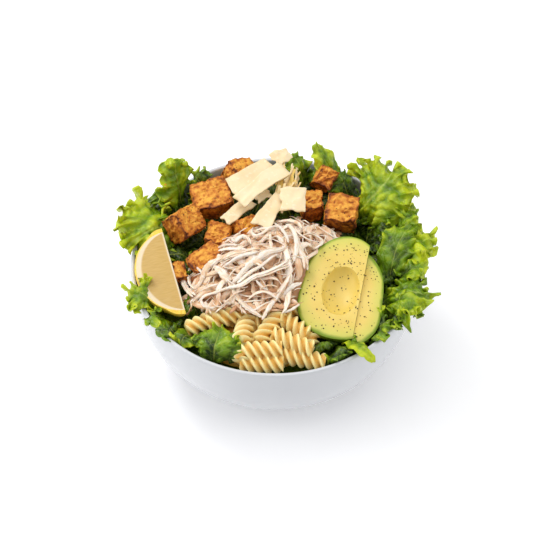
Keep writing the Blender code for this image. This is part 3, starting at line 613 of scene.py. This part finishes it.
def over_avocado(x, y):
    """True within the avocado's outline seen from above."""
    turn = radians(AVOCADO_TURN[2])
    dx, dy = x - AVOCADO_CENTRE[0], y - AVOCADO_CENTRE[1]
    across = dx * cos(turn) + dy * sin(turn)
    along = dy * cos(turn) - dx * sin(turn)
    return hypot(across / AVOCADO_RADIUS, along * 2 / AVOCADO_LENGTH) < 0.98


def shred_path(rng, spread, number, length, lift, steps):
    """A shred's path over the mound, at a spread of 0 (middle) to 1 (edge)."""
    angle = number * GOLDEN_ANGLE
    reach = sqrt(spread)
    u = MOUND_SIZE[0] * reach * cos(angle)
    v = MOUND_SIZE[1] * reach * sin(angle)
    x = MOUND_CENTRE.x + u * cos(MOUND_HEADING) - v * sin(MOUND_HEADING)
    y = MOUND_CENTRE.y + u * sin(MOUND_HEADING) + v * cos(MOUND_HEADING)
    heading = radians(26 + 80 * smoothstep(-5, 35, x) + rng.gauss(0, 38))
    curl = rng.uniform(-0.045, 0.045)
    wave = rng.uniform(0.6, 3.6)
    phase = rng.uniform(0, 6)
    points = []
    for i in range(steps + 1):
        part = (i / steps - 0.5) * length
        direction = heading + curl * part
        px = x + part * cos(direction) + wave * sin(part / 7 + phase)
        py = y + part * sin(direction) + wave * cos(part / 6 + phase)
        if over_avocado(px, py) or py < -62:
            continue
        height = mound_top(px, py) + lift + wave * 0.8 * sin(part / 5 + 2 * phase)
        if py < PASTA_BACK:
            height = max(height, OVER_PASTA - 2 + lift * 0.6)
        points.append(Vector((px, py, height)))
    return points


def add_shred(bm, points, width, thickness, twist, brightness):
    """Rolls a grid into a flat tube along a path, tapered to its ends, with its grain lengthwise."""
    steps, around = len(points) - 1, 8
    made = bmesh.ops.create_grid(bm, x_segments=steps, y_segments=around, size=0.5, calc_uvs=True)
    tone = bm.verts.layers.float["tone"]
    seed = points[0].x
    for vertex in made["verts"]:
        i = round((vertex.co.x + 0.5) * steps)
        angle = tau * (vertex.co.y + 0.5)
        heading = (points[min(i + 1, steps)] - points[max(i - 1, 0)]).normalized()
        side = heading.cross(Vector((0, 0, 1))).normalized()
        roll = Matrix.Rotation(twist * (i / steps - 0.5) + 0.5 * sin(seed), 3, heading)
        side = roll @ side
        up = side.cross(heading)
        taper = sin(pi * i / steps) ** 0.5 if 0 < i < steps else 0.0
        ragged = 1 + 0.6 * noise.noise(Vector((i * 0.9, 2 * cos(angle), seed)))
        across = side * cos(angle) * width / 2 * ragged
        upward = up * sin(angle) * thickness / 2
        vertex.co = points[i] + (across + upward) * taper
        vertex[tone] = brightness + 0.26 * noise.noise(Vector((i * 0.5, 2 * sin(angle), seed)))


# Poached chicken breast: cream-white, with painted shade in pinkish tan and brown where shreds lie deep,
# fibres that run along each shred, and a moist sheen
breast, tree, shader, place = new_material("poached_chicken_breast", 0.42, 1.42)
lit_through(shader, 0.2, (1.0, 0.45, 0.25), 0.002)
along_grain = add_node(tree, "UVMap", {"uv_map": "blade"})
tone = corner_tone(tree)
shifted = add_node(tree, "VectorMath", None, {0: along_grain.outputs["UV"], 1: tone})
stretched = add_node(tree, "Mapping", {"Scale": (6.0, 15.0, 1.0)}, {"Vector": shifted.outputs[0]})
fibres = noise_texture(tree, 1.0, 4.0, stretched.outputs[0])
patches = noise_texture(tree, 90.0, 3.0, place)
streaked = math_node(tree, "MULTIPLY_ADD", fibres, 0.9, -0.45)
blotched = math_node(tree, "MULTIPLY_ADD", patches, 0.5, streaked)
lifted = math_node(tree, "ADD", tone, blotched, clamp=True)
meat_and_depth_shade = three_colours(tree, lifted, "A06034", "E2B78C", "FDEEDD")
coat(tree, shader, meat_and_depth_shade, fibres, 0.5, 0.0005)

rng = random.Random(8)
bm = toned_bmesh()
# The mound under the shreds keeps the lowest tone, painted shade that shows dark brown between them
core = bmesh.ops.create_uvsphere(bm, u_segments=72, v_segments=36, radius=1.0)["verts"]
turn = Matrix.Rotation(MOUND_HEADING, 3, "Z")
for vertex in core:
    across = Vector((vertex.co.x * MOUND_SIZE[0], vertex.co.y * MOUND_SIZE[1], 0)) * 0.9
    x, y = (turn @ across).xy + MOUND_CENTRE
    z = MOUND_FOOT + (MOUND_EDGE - MOUND_FOOT) * (1 + vertex.co.z)
    if vertex.co.z > 0.01:
        z = mound_top(x, y) - 3.5 + 1.8 * noise.noise(Vector((x, y, 0)) / 6.0)
    vertex.co = Vector((x, y, z))

# Each layer of shreds: how many, least and most length, width, thickness and lift, and brightness, lower for
# the deeper layers as painted shade between the shreds
SHREDS = (
    (60, (26, 50), (4.5, 9.5), (1.8, 2.8), (-3.5, -0.8), 0.10),
    (46, (26, 52), (3.2, 7.5), (1.5, 2.4), (-1.0, 1.6), 0.44),
    (22, (20, 46), (2.0, 5.4), (1.0, 1.6), (1.0, 3.2), 0.60),
    (110, (10, 28), (0.5, 1.3), (0.5, 0.9), (0.0, 4.4), 0.66),
)

# The long strips on top, each its width and lift and the points it passes over. Two hang over
# the pasta in a V, and the left and upper ends are frayed.
STRIPS = (
    (5.0, 3.0, ((-32, -36), (-28, -43), (-22, -52), (-15, -59), (-8, -65))),
    (5.5, 3.0, ((-8, -65), (-4, -55), (2, -44), (9, -35), (12, -27))),
    (4.0, 5.0, ((-59, -52), (-50, -42), (-37, -41), (-26, -40), (-16, -36), (-5, -32), (5, -28), (12, -21))),
    (4.4, 4.5, ((12, -22), (15, -10), (13, 7), (7, 20))),
    (5.4, 4.0, ((-31, -37), (-22, -29), (-13, -20), (-2, -14), (9, -9))),
    (4.6, 4.6, ((-27, -38), (-16, -31), (-5, -23), (3, -17))),
    (6.0, 3.4, ((-57, -33), (-52, -25), (-48, -17), (-41, -11), (-32, -11), (-20, -9), (-10, -10))),
    (3.2, 3.0, ((-62, 0), (-66, -7), (-66, -19), (-62, -31), (-56, -39))),
    (2.6, 3.8, ((-60, 0), (-62, -13), (-61, -26), (-56, -35))),
    (2.2, 3.6, ((-58, -3), (-56, -12), (-52, -20), (-50, -27))),
    (3.6, 3.4, ((-52, 13), (-47, 6), (-40, -2), (-30, -6), (-17, -10))),
    (2.4, 4.6, ((-50, -1), (-42, 0), (-34, 1), (-26, -3))),
    (2.8, 4.6, ((-37, 6), (-32, 10), (-29, 3), (-24, 6), (-20, 1), (-18, -7))),
    (3.2, 4.6, ((-16, 22), (-17, 12), (-14, 4), (-8, 8), (-2, 14), (6, 15))),
    (3.0, 4.4, ((17, 1), (26, 5), (33, 2), (32, -4), (26, -10))),
    (4.6, 4.2, ((14, 8), (16, -4), (18, -13), (21, -19), (22, -26))),
    (4.6, 2.6, ((14, 8), (24, 17), (33, 27))),
    (3.4, 4.8, ((-1, 24), (4, 12), (8, 0), (10, -9))),
    (3.4, 4.8, ((2, 24), (10, 22), (17, 17), (20, 8))),
    (6.4, 3.0, ((-42, -18), (-36, -28), (-31, -36))),
    (3.4, 4.4, ((-36, -21), (-27, -18), (-20, -16), (-11, -14))),
    (3.6, 2.6, ((18, -34), (11, -39), (4, -45))),
    (2.2, 2.4, ((17, -52), (11, -57), (4, -60))),
    (1.6, 4.0, ((-13, -37), (-9, -41), (-4, -43))),
    (2.4, 1.6, ((-53, -42), (-50, -52), (-44, -55), (-38, -52))),
)


def strip_path(spots, lift):
    """A smooth path through the given spots that follows the mound."""
    ends = (spots[0], *spots, spots[-1])
    points = []
    for a, b, c, d in zip(ends, ends[1:], ends[2:], ends[3:]):
        for i in range(6):
            t = i / 6
            flat = b * 2 + (c - a) * t + (a * 2 - b * 5 + c * 4 - d) * t * t + (b * 3 - a - c * 3 + d) * t**3
            x, y = flat / 2
            height = mound_top(x, y) + lift + 0.8 * sin(x / 3.5 + y / 5)
            if y < PASTA_BACK:
                height = max(height, OVER_PASTA - 2 + 0.4 * lift)
            points.append(Vector((x, y, height)))
    return points


for count, lengths, widths, thicknesses, lifts, brightness in SHREDS:
    for number in range(count):
        spread = (number + 0.5) / count * 0.96
        length = rng.uniform(*lengths)
        points = shred_path(rng, spread, number + 0.37 * count, length, rng.uniform(*lifts), 14)
        if len(points) > 5:
            twist, width = rng.uniform(-1.6, 1.6), rng.uniform(*widths)
            thickness = rng.uniform(*thicknesses)
            add_shred(bm, points, width, thickness, twist, brightness + rng.gauss(0, 0.1))
for width, lift, spots in STRIPS:
    # Each strip is three bundles of fibres that part towards its ends
    for number in range(3):
        sideways = Vector((rng.uniform(-1, 1), rng.uniform(-1, 1))) * width * 0.26
        moved = [Vector(spot) + sideways * (0.4 + abs(i - 1.5) / 2) for i, spot in enumerate(spots)]
        points = strip_path(moved, lift + rng.uniform(-0.9, 0.7))
        bundle = width * rng.uniform(0.55, 0.95)
        thickness, twist = rng.uniform(1.0, 1.7), rng.uniform(-1.2, 1.2)
        add_shred(bm, points, bundle, thickness, twist, 0.66 + rng.gauss(0, 0.12))
add_piece("pulled_chicken", welded(bm, 0.0001), breast, ["chicken"])


# Croutons: cubes of white bread tossed in oil and herbs and baked hard, their crumb open, their
# edges browned first.

# Each crouton: its three sides, its centre and how it is turned in degrees
CROUTONS = {
    "crouton_left": ((22, 20, 20), (-66.7, 27.3, 96), (38, 12, 48)),
    "crouton_big_left": ((28, 24, 22), (-47, 54, 94), (16, -8, 14)),
    "crouton_back_left": ((20, 17, 20), (-27, 81, 92), (10, 22, 30)),
    "crouton_middle": ((17, 17, 17), (-42, 21, 88), (14, 6, -10)),
    "crouton_centre": ((17, 18, 19), (-20.5, 25, 90), (30, 6, 25)),
    "crouton_low": ((25, 16, 15), (-50, -3.5, 91.5), (14, -14, 34)),
    "crouton_by_lemon": ((10, 14, 17), (-69, -12.5, 83.5), (8, 4, 14)),
    "crouton_back_right": ((14, 15, 25), (37, 75, 94), (30, 24, -20)),
    "crouton_round": ((15, 16, 22), (27, 48, 93), (12, 4, 10)),
    "crouton_big_right": ((23, 22, 27), (49, 38, 95), (20, 4, -8)),
}


def placing(centre, turn_deg):
    """Turns about the origin, then moves to centre."""
    return Matrix.Translation(centre) @ Euler([radians(a) for a in turn_deg]).to_matrix().to_4x4()


def placed(bm, centre, turn_deg):
    bmesh.ops.transform(bm, matrix=placing(centre, turn_deg), verts=bm.verts)
    return bm


def toasted_cube(name, sizes, cuts):
    seed = sum(ord(letter) for letter in name)
    bm = bmesh.new()
    browning_and_shade = bm.verts.layers.float.new("tone")
    bmesh.ops.create_cube(bm, size=1.0)
    bmesh.ops.subdivide_edges(bm, edges=bm.edges[:], cuts=cuts, use_grid_fill=True)
    for vertex in bm.verts:
        near = sorted(0.5 - abs(part) for part in vertex.co)
        edge = exp(-near[1] / 0.07)
        rounded = vertex.co.lerp(vertex.co.normalized() * 0.62, 0.16)
        at = Vector(side * part for side, part in zip(sizes, rounded))
        own_place = Vector((seed, 0, 0))  # each cube has its own crags
        there = at + own_place
        crag = noise.noise_vector(at / 9.0 + own_place) * 1.5
        crumb = 0.9 * noise.noise_vector(there / 3.4) + 0.55 * noise.noise_vector(there / 1.4)
        pore = noise.voronoi(there / 3.0)[0][0]
        pit = -1.3 * (1 - smoothstep(0.0, 0.34, pore))
        vertex.co = at + crag + crumb + at.normalized() * pit
        # Browned along the edges and at random, with painted shade in the pores
        vertex[browning_and_shade] = 0.55 * edge - 0.35 * pit + 0.35 * noise.noise(there / 5.0)
    return bm


# Oil-baked bread: golden with orange-brown edges, painted shade in the pores and on the sides that face the
# front, dried herb specks, dry and rough
crust, tree, shader, place = new_material("oil_baked_bread", 0.62, 1.45)
tone = corner_tone(tree)
bake = noise_texture(tree, 380.0, 7.0, place)
crumb = noise_texture(tree, 620.0, 4.0, place)
herbs = add_node(tree, "TexVoronoi", {"Scale": 430.0}, {"Vector": place})
uneven = math_node(tree, "MULTIPLY_ADD", bake, 1.5, -0.64)
browned_and_shaded = math_node(tree, "ADD", tone, uneven, clamp=True)
brown = three_colours(tree, browned_and_shaded, "EEAC3E", "C56F16", "602808")
speck = map_range(tree, herbs.outputs["Distance"], 0.22, 0.15)
chosen = math_node(tree, "GREATER_THAN", herbs.outputs["Color"], 0.62)
speck_share = math_node(tree, "MULTIPLY", speck, chosen)
flecked = mix_colours(tree, speck_share, brown, "3A2A10")
coat(tree, shader, flecked, crumb, 0.8, 0.0008)

for name, (sizes, centre, turn_deg) in CROUTONS.items():
    bm = placed(toasted_cube(name, sizes, 27), centre, turn_deg)
    bm.normal_update()
    browning_and_shade = bm.verts.layers.float["tone"]
    for vertex in bm.verts:
        # Painted shade: the sides that face the front, away from the lights, are made darkest
        vertex[browning_and_shade] += 0.5 * smoothstep(0.1, 0.9, -vertex.normal.y)
    add_piece(f"{name}_baked", bm, crust, [name])


# Parmesan: shavings cut from the block with a peeler, thin, stiff and slightly curved, with
# broken edges, leaning on each other over the croutons.

SHAVING_THICKNESS = 1.2

# Each shaving: length, width at its start and at its end, bend in mm, centre and turn in degrees
SHAVINGS = {
    "parmesan_slab": (37, 19, 17, 1.5, (-17, 63, 109), (12, -4, 36)),
    "parmesan_long": (45, 11, 14, 2.0, (-10, 52, 112.5), (10, -5, 44)),
    "parmesan_low_left": (27, 9, 12, -1.0, (-27.5, 36, 102.5), (10, -6, 46)),
    "parmesan_triangle": (33, 15, 9, 1.5, (-3, 32.5, 106), (8, -5, 62)),
    "parmesan_square": (19, 18, 19, 1.5, (13.5, 38, 111), (20, 0, -6)),
    "parmesan_back": (15, 13, 9, 1.0, (5, 81.5, 112), (22, 0, 30)),
    "parmesan_small": (13, 6, 8, 1.0, (-9, 48.5, 103), (10, 0, 40)),
    "parmesan_edge_left": (20, 9, 6, 1.0, (11.5, 66, 107), (76, 4, 76)),
    "parmesan_edge_right": (19, 8, 6, 1.0, (16, 64, 106), (78, 4, 84)),
}


def shaving(name, length, width_start, width_end, bend):
    seed = sum(ord(letter) for letter in name)
    bm = bmesh.new()
    bmesh.ops.create_grid(bm, x_segments=30, y_segments=14, size=0.5)
    for vertex in bm.verts:
        x, y = vertex.co.x, vertex.co.y
        width = width_start + (width_end - width_start) * (x + 0.5)
        chip = noise.noise_vector(Vector((x * 3, y * 3, seed)))
        rim = smoothstep(0.30, 0.5, max(abs(x), abs(y)))
        broken = noise.noise_vector(Vector((x * length, y * width, seed)) / 2.6) * 0.35 * rim
        waviness = 0.25 * noise.noise(Vector((x * length, y * width, seed)) / 4)
        lift = bend * (1 - 4 * x * x) + 0.6 * chip.z + waviness
        vertex.co = Vector((x * length + chip.x * 2.0, y * width + chip.y * 1.6, lift)) + broken
    return bm


# Aged parmesan: pale straw, waxy, faintly grained, with crystals as paler dots and a torn edge
parmesan, tree, shader, place = new_material("aged_parmesan", 0.45, 1.46)
lit_through(shader, 0.2, (1.0, 0.75, 0.4), 0.002)
grain = noise_texture(tree, 330.0, 5.0, place)
cloud = noise_texture(tree, 55.0, 2.0, place)
straw = mix_colours(tree, cloud, "E6C88E", "F7E7C6")
crystals = map_range(tree, grain, 0.58, 0.72, 0.0, 0.6)
# Painted light: the slivers' tone mixes in a deeper yellow for light shining through them
painted_glow_share = corner_tone(tree)
glowing = mix_colours(tree, painted_glow_share, straw, "E9C464")
dotted = mix_colours(tree, crystals, glowing, "FBEED2")
coat(tree, shader, dotted, grain, 0.35, 0.0004)

for name, (length, width_start, width_end, bend, centre, turn_deg) in SHAVINGS.items():
    bm = placed(shaving(name, length, width_start, width_end, bend), centre, turn_deg)
    piece = add_piece(f"{name}_shaved", bm, parmesan, [name], sharp_angle=60)
    thicken(piece, "shaving_thickness", SHAVING_THICKNESS, -1.0)

# The thin slivers that broke off them, painted a deeper yellow for the light that comes through them
bm = bmesh.new()
painted_glow_layer = bm.verts.layers.float.new("tone")
rng = random.Random(5)
for number in range(34):
    length = rng.uniform(9, 17)
    sliver = bmesh.ops.create_cube(bm, size=1.0)["verts"]
    bmesh.ops.scale(bm, vec=(length, rng.uniform(1.0, 2.4), rng.uniform(0.5, 0.8)), verts=sliver)
    for vertex in sliver:
        vertex.co += 0.5 * noise.noise_vector(vertex.co / 3.0 + Vector((number, 0, 0)))
        vertex[painted_glow_layer] = 0.25 + 0.7 * (number % 3) / 2
    lean = Euler((rng.uniform(-0.6, 0.6), -rng.uniform(0.1, 0.7), radians(rng.gauss(72, 16))))
    where = (rng.gauss(7, 5), rng.gauss(56, 8), rng.uniform(104, 109))
    bmesh.ops.transform(bm, matrix=Matrix.Translation(where) @ lean.to_matrix().to_4x4(), verts=sliver)
add_piece("parmesan_slivers", bm, parmesan, sharp_angle=30)


# Avocado: one ripe half, peeled and stoned, cut face up. A slice is cut off beside the neck and
# has slipped down a little. Black pepper is ground over it.

PEAR_TAPER = 0.25  # the neck is this share narrower than a plain oval, the foot as much wider
NECK_POWER = 0.55
FOOT_POWER = 0.8
AVOCADO_CUT = 13.5
PEPPER_FLAKES = 230
STONE_HOLLOW = (13.2, 19.0, 10.0)
STONE_CENTRE = (-0.8, -3.5, 1.0)
SLICE_MOVE = Matrix.Translation((0.7, -5.0, -2.6)) @ Matrix.Rotation(radians(-3.7), 4, "X")


def pear_outline(angle):
    """The half's outline on its cut face, at an angle from the neck."""
    c = cos(angle)
    x = AVOCADO_RADIUS * sin(angle) * (1 - PEAR_TAPER * c)
    return x, AVOCADO_LENGTH / 2 * copysign(abs(c) ** (NECK_POWER if c > 0 else FOOT_POWER), c)


def pear_half_width(y):
    share = min(1.0, abs(y) * 2 / AVOCADO_LENGTH)
    c = copysign(share ** (1 / (NECK_POWER if y > 0 else FOOT_POWER)), y)
    return AVOCADO_RADIUS * sqrt(max(0.0, 1 - c * c)) * (1 - PEAR_TAPER * c)


def face_height(x, y):
    """Height of the cut face in the avocado's own frame, with the stone's hollow."""
    across = ((x - STONE_CENTRE[0]) / STONE_HOLLOW[0]) ** 2 + ((y - STONE_CENTRE[1]) / STONE_HOLLOW[1]) ** 2
    depth = STONE_CENTRE[2] - STONE_HOLLOW[2] * sqrt(max(0.0, 1 - across))
    knife = 0.25 * noise.noise(Vector((x / 9, y / 14, 5)))
    return min(0.0, depth) + knife


def cut_away(bm, spot, normal):
    """Cuts off what lies beyond a plane, and returns the edges of the cut."""
    cut = bmesh.ops.bisect_plane(
        bm, geom=bm.verts[:] + bm.edges[:] + bm.faces[:], plane_co=spot, plane_no=normal, clear_outer=True
    )
    return [part for part in cut["geom_cut"] if isinstance(part, bmesh.types.BMEdge)]


def avocado_part(side, move):
    """The part of the half on one side of the cut, -1 left or 1 right, moved and laid in the bowl."""
    bm = bmesh.new()
    rim = bm.verts.layers.float.new("tone")
    bmesh.ops.create_uvsphere(bm, u_segments=120, v_segments=72, radius=1.0)
    for vertex in bm.verts:
        angle = atan2(vertex.co.x, vertex.co.y)
        polar = acos(max(-1.0, min(1.0, vertex.co.z)))
        edge_x, edge_y = pear_outline(angle)
        if polar <= pi / 2 + 0.001:
            share = polar / (pi / 2)
            x, y = edge_x * share, edge_y * share
            rounding = -0.7 * smoothstep(0.955, 1.0, share)
            vertex.co = Vector((x, y, face_height(x, y) * smoothstep(1.0, 0.9, share) + rounding))
            vertex[rim] = share
        else:
            share = sin(polar)
            x, y = edge_x * share, edge_y * share
            depth = 0.9 * sqrt(max(0.0, pear_half_width(y) ** 2 - x * x))
            dent = 0.35 * noise.noise(Vector((x, y, depth)) / 7.0)
            vertex.co = Vector((x, y, min(-0.7, -depth + dent)))
            vertex[rim] = 1.0 + min(1.0, depth / 12)
    cut_at = AVOCADO_CUT - (0.55 if side > 0 else 0.0)  # the slice lies against the half
    bmesh.ops.holes_fill(bm, edges=cut_away(bm, (cut_at, 0, 0), (-side, 0, 0)))
    bmesh.ops.recalc_face_normals(bm, faces=bm.faces)
    bmesh.ops.transform(bm, matrix=move, verts=bm.verts)
    return placed(bm, AVOCADO_CENTRE, AVOCADO_TURN)


# Ripe avocado flesh: buttery yellow in the middle, yellow-green towards the peel, deep green
# where the peel was, smooth and greasy with faint knife marks
flesh, tree, shader, place = new_material("ripe_avocado_flesh", 0.4, 1.45)
lit_through(shader, 0.18, (1.0, 0.8, 0.25), 0.002)
tone = corner_tone(tree)
cloud = noise_texture(tree, 60.0, 6.0, place)
drift = math_node(tree, "MULTIPLY_ADD", cloud, 0.16, -0.08)
ring = math_node(tree, "ADD", tone, drift)
butter = mix_colours(tree, cloud, "DDBD4E", "EDD478")
outer = map_range(tree, ring, 0.68, 1.0)
limed = mix_colours(tree, outer, butter, "C9CB58")
margin = map_range(tree, ring, 0.93, 0.985)
peeled = mix_colours(tree, margin, limed, "7F9B22")
below = map_range(tree, ring, 1.2, 1.9)
green = mix_colours(tree, below, peeled, "68841E")
coat(tree, shader, green, cloud, 0.45, 0.001)

half = avocado_part(-1, Matrix.Identity(4))
add_piece("avocado_half_flesh", half, flesh, ["avocado_half"], sharp_angle=40)
slipped = avocado_part(1, SLICE_MOVE)
add_piece("avocado_slice_flesh", slipped, flesh, ["avocado_slice"], sharp_angle=40)

# Cracked black pepper: hard angular bits of dark brown husk and paler core, a third to one millimetre
husk, tree, shader, place = new_material("cracked_black_pepper", 0.6, 1.5)
bits = noise_texture(tree, 700.0, 2.0, place)
dark = mix_colours(tree, bits, "1C130B", "5A4425")
tree.links.new(dark, shader.inputs["Base Color"])

rng = random.Random(11)
bm = bmesh.new()
on_avocado = placing(AVOCADO_CENTRE, AVOCADO_TURN)
for number in range(PEPPER_FLAKES):
    angle, share = rng.uniform(0, tau), sqrt(rng.uniform(0, 0.8))
    edge_x, edge_y = pear_outline(angle)
    x, y = edge_x * share, edge_y * share
    spot = Vector((x, y, face_height(x, y) + 0.12))
    if x > AVOCADO_CUT:
        spot = SLICE_MOVE @ spot
    size = rng.choice((0.26, 0.34, 0.42, 0.55, 0.7))
    flake = bmesh.ops.create_cone(
        bm, segments=4, radius1=size, radius2=size * rng.uniform(0.2, 0.7), depth=size * 1.1, cap_ends=True
    )
    turn = Euler((rng.uniform(-0.6, 0.6), rng.uniform(-0.6, 0.6), rng.uniform(0, 6))).to_matrix().to_4x4()
    bmesh.ops.transform(bm, matrix=on_avocado @ Matrix.Translation(spot) @ turn, verts=flake["verts"])
add_piece("pepper_flakes", bm, husk, sharp_angle=20)


# Lemon: a wedge cut lengthwise from a small lemon, a cut face up and its rind against the bowl.
# Thin oily rind, a band of white pith, then the juice sacs in their membrane.

LEMON_LENGTH = 74.0
LEMON_RADIUS = 27.5
LEMON_CENTRE = (-72.5, -16.5, 95)
LEMON_TURN = (9, 0, 16)
WEDGE_ANGLE = 62.0
RIND = 1.1
PITH = 4.2

bm = bmesh.new()
bmesh.ops.create_uvsphere(bm, u_segments=128, v_segments=80, radius=1.0)
for vertex in bm.verts:
    length_share = vertex.co.z
    nub = 1 + 0.1 * smoothstep(0.86, 1.0, abs(length_share))
    vertex.co = Vector(
        (vertex.co.x * LEMON_RADIUS, length_share * nub * LEMON_LENGTH / 2.2, vertex.co.y * LEMON_RADIUS)
    )
    vertex.co *= 1 + 0.006 * noise.noise(vertex.co / 3.0)
low = radians(WEDGE_ANGLE)
for normal in ((0, 0, 1), (sin(low), 0, -cos(low))):
    bmesh.ops.contextual_create(bm, geom=cut_away(bm, (0, 0, 0), normal))
bmesh.ops.recalc_face_normals(bm, faces=bm.faces)
bmesh.ops.triangulate(bm, faces=[face for face in bm.faces if len(face.verts) > 4])

# Cut lemon: the depth under the rind decides what shows, oily yellow rind, white pith, a pale
# membrane, then straw-coloured juice sacs in fine rays towards the core
lemon, tree, shader, place = new_material("cut_lemon", 0.3, 1.38)
lit_through(shader, 0.25, (1.0, 0.8, 0.3), 0.003)
lying = {
    "vector_type": "TEXTURE",
    "Location": [part * MM for part in LEMON_CENTRE],
    "Rotation": [radians(part) for part in LEMON_TURN],
}
own = add_node(tree, "Mapping", lying, {"Vector": place}).outputs[0]
split = add_node(tree, "SeparateXYZ", None, {0: own})
flat = add_node(tree, "CombineXYZ", None, {"X": split.outputs["X"], "Z": split.outputs["Z"]})
from_core = add_node(tree, "VectorMath", {"operation": "LENGTH"}, {0: flat.outputs[0]})
lengthwise = math_node(tree, "DIVIDE", split.outputs["Y"], LEMON_LENGTH / 2.2 * MM)
squared = math_node(tree, "POWER", lengthwise, 2.0)
left_over = math_node(tree, "SUBTRACT", 1.0, squared, clamp=True)
rooted = math_node(tree, "SQRT", left_over)
outline = math_node(tree, "MULTIPLY", rooted, LEMON_RADIUS * MM)
under = math_node(tree, "SUBTRACT", outline, from_core.outputs["Value"])
to_pith = map_range(tree, under, (RIND - 0.3) * MM, (RIND + 0.3) * MM)
to_flesh = map_range(tree, under, PITH * MM, (PITH + 1.4) * MM)
# Juice sacs, about 1 mm across and 8 mm long, pointing at the core
rays = add_node(tree, "Mapping", {"Scale": (130.0, 900.0, 130.0)}, {"Vector": own})
sacs = noise_texture(tree, 1.0, 3.0, rays.outputs[0])
juice = mix_colours(tree, sacs, "BA944A", "D5B470")
pores = add_node(tree, "TexVoronoi", {"Scale": 700.0}, {"Vector": place})
rind = mix_colours(tree, pores.outputs["Distance"], "E9B92E", "F8D860")
pale = mix_colours(tree, to_pith, rind, "E6D4B2")
# The membrane that is left where the wedge comes to its core
off_core = map_range(tree, from_core.outputs["Value"], 0.6 * MM, 1.5 * MM)
in_flesh = math_node(tree, "MULTIPLY", to_flesh, off_core)
inside = mix_colours(tree, in_flesh, pale, juice)
relief = add_node(tree, "Mix", None, {0: to_flesh, 2: pores.outputs["Distance"], 3: sacs})
coat(tree, shader, inside, relief.outputs[0], 0.4, 0.0004)

wedge = placed(bm, LEMON_CENTRE, LEMON_TURN)
add_piece("lemon_wedge_cut", wedge, lemon, ["lemon_wedge"], sharp_angle=30)


# Crumbs: bits broken off the croutons and the cheese, lying where they fell.

def scattered(rng, count, spot, spread, sizes, onto):
    """Small broken bits dropped straight down on the pieces whose names start so."""
    graph = bpy.context.evaluated_depsgraph_get()
    bm = bmesh.new()
    for number in range(count):
        x, y = rng.gauss(spot[0], spread[0]), rng.gauss(spot[1], spread[1])
        found, point, _, _, hit, _ = scene.ray_cast(graph, Vector((x, y, 200)) * MM, Vector((0, 0, -1)))
        if not found or not hit.name.startswith(onto):
            continue
        size = rng.uniform(*sizes)
        bit = bmesh.ops.create_icosphere(bm, subdivisions=1, radius=size)["verts"]
        for vertex in bit:
            vertex.co += 0.4 * size * noise.noise_vector(vertex.co * 3 + Vector((number, 0, 0)))
        squash = Matrix.Diagonal((1.0, rng.uniform(0.5, 0.9), rng.uniform(0.5, 0.8), 1.0))
        turn = Matrix.Rotation(rng.uniform(0, 6), 4, "Z")
        place = Matrix.Translation(point / MM + Vector((0, 0, size * 0.2)))
        bmesh.ops.transform(bm, matrix=place @ turn @ squash, verts=bit)
    return bm


bm = scattered(random.Random(21), 60, (-44, 24), (15, 20), (0.4, 1.1), ("crouton", "torn", "lettuce"))
add_piece("bread_crumbs", bm, crust)
bm = scattered(random.Random(22), 60, (2, 40), (15, 18), (0.3, 0.8), ("crouton", "pulled", "torn"))
add_piece("parmesan_crumbs", bm, parmesan)
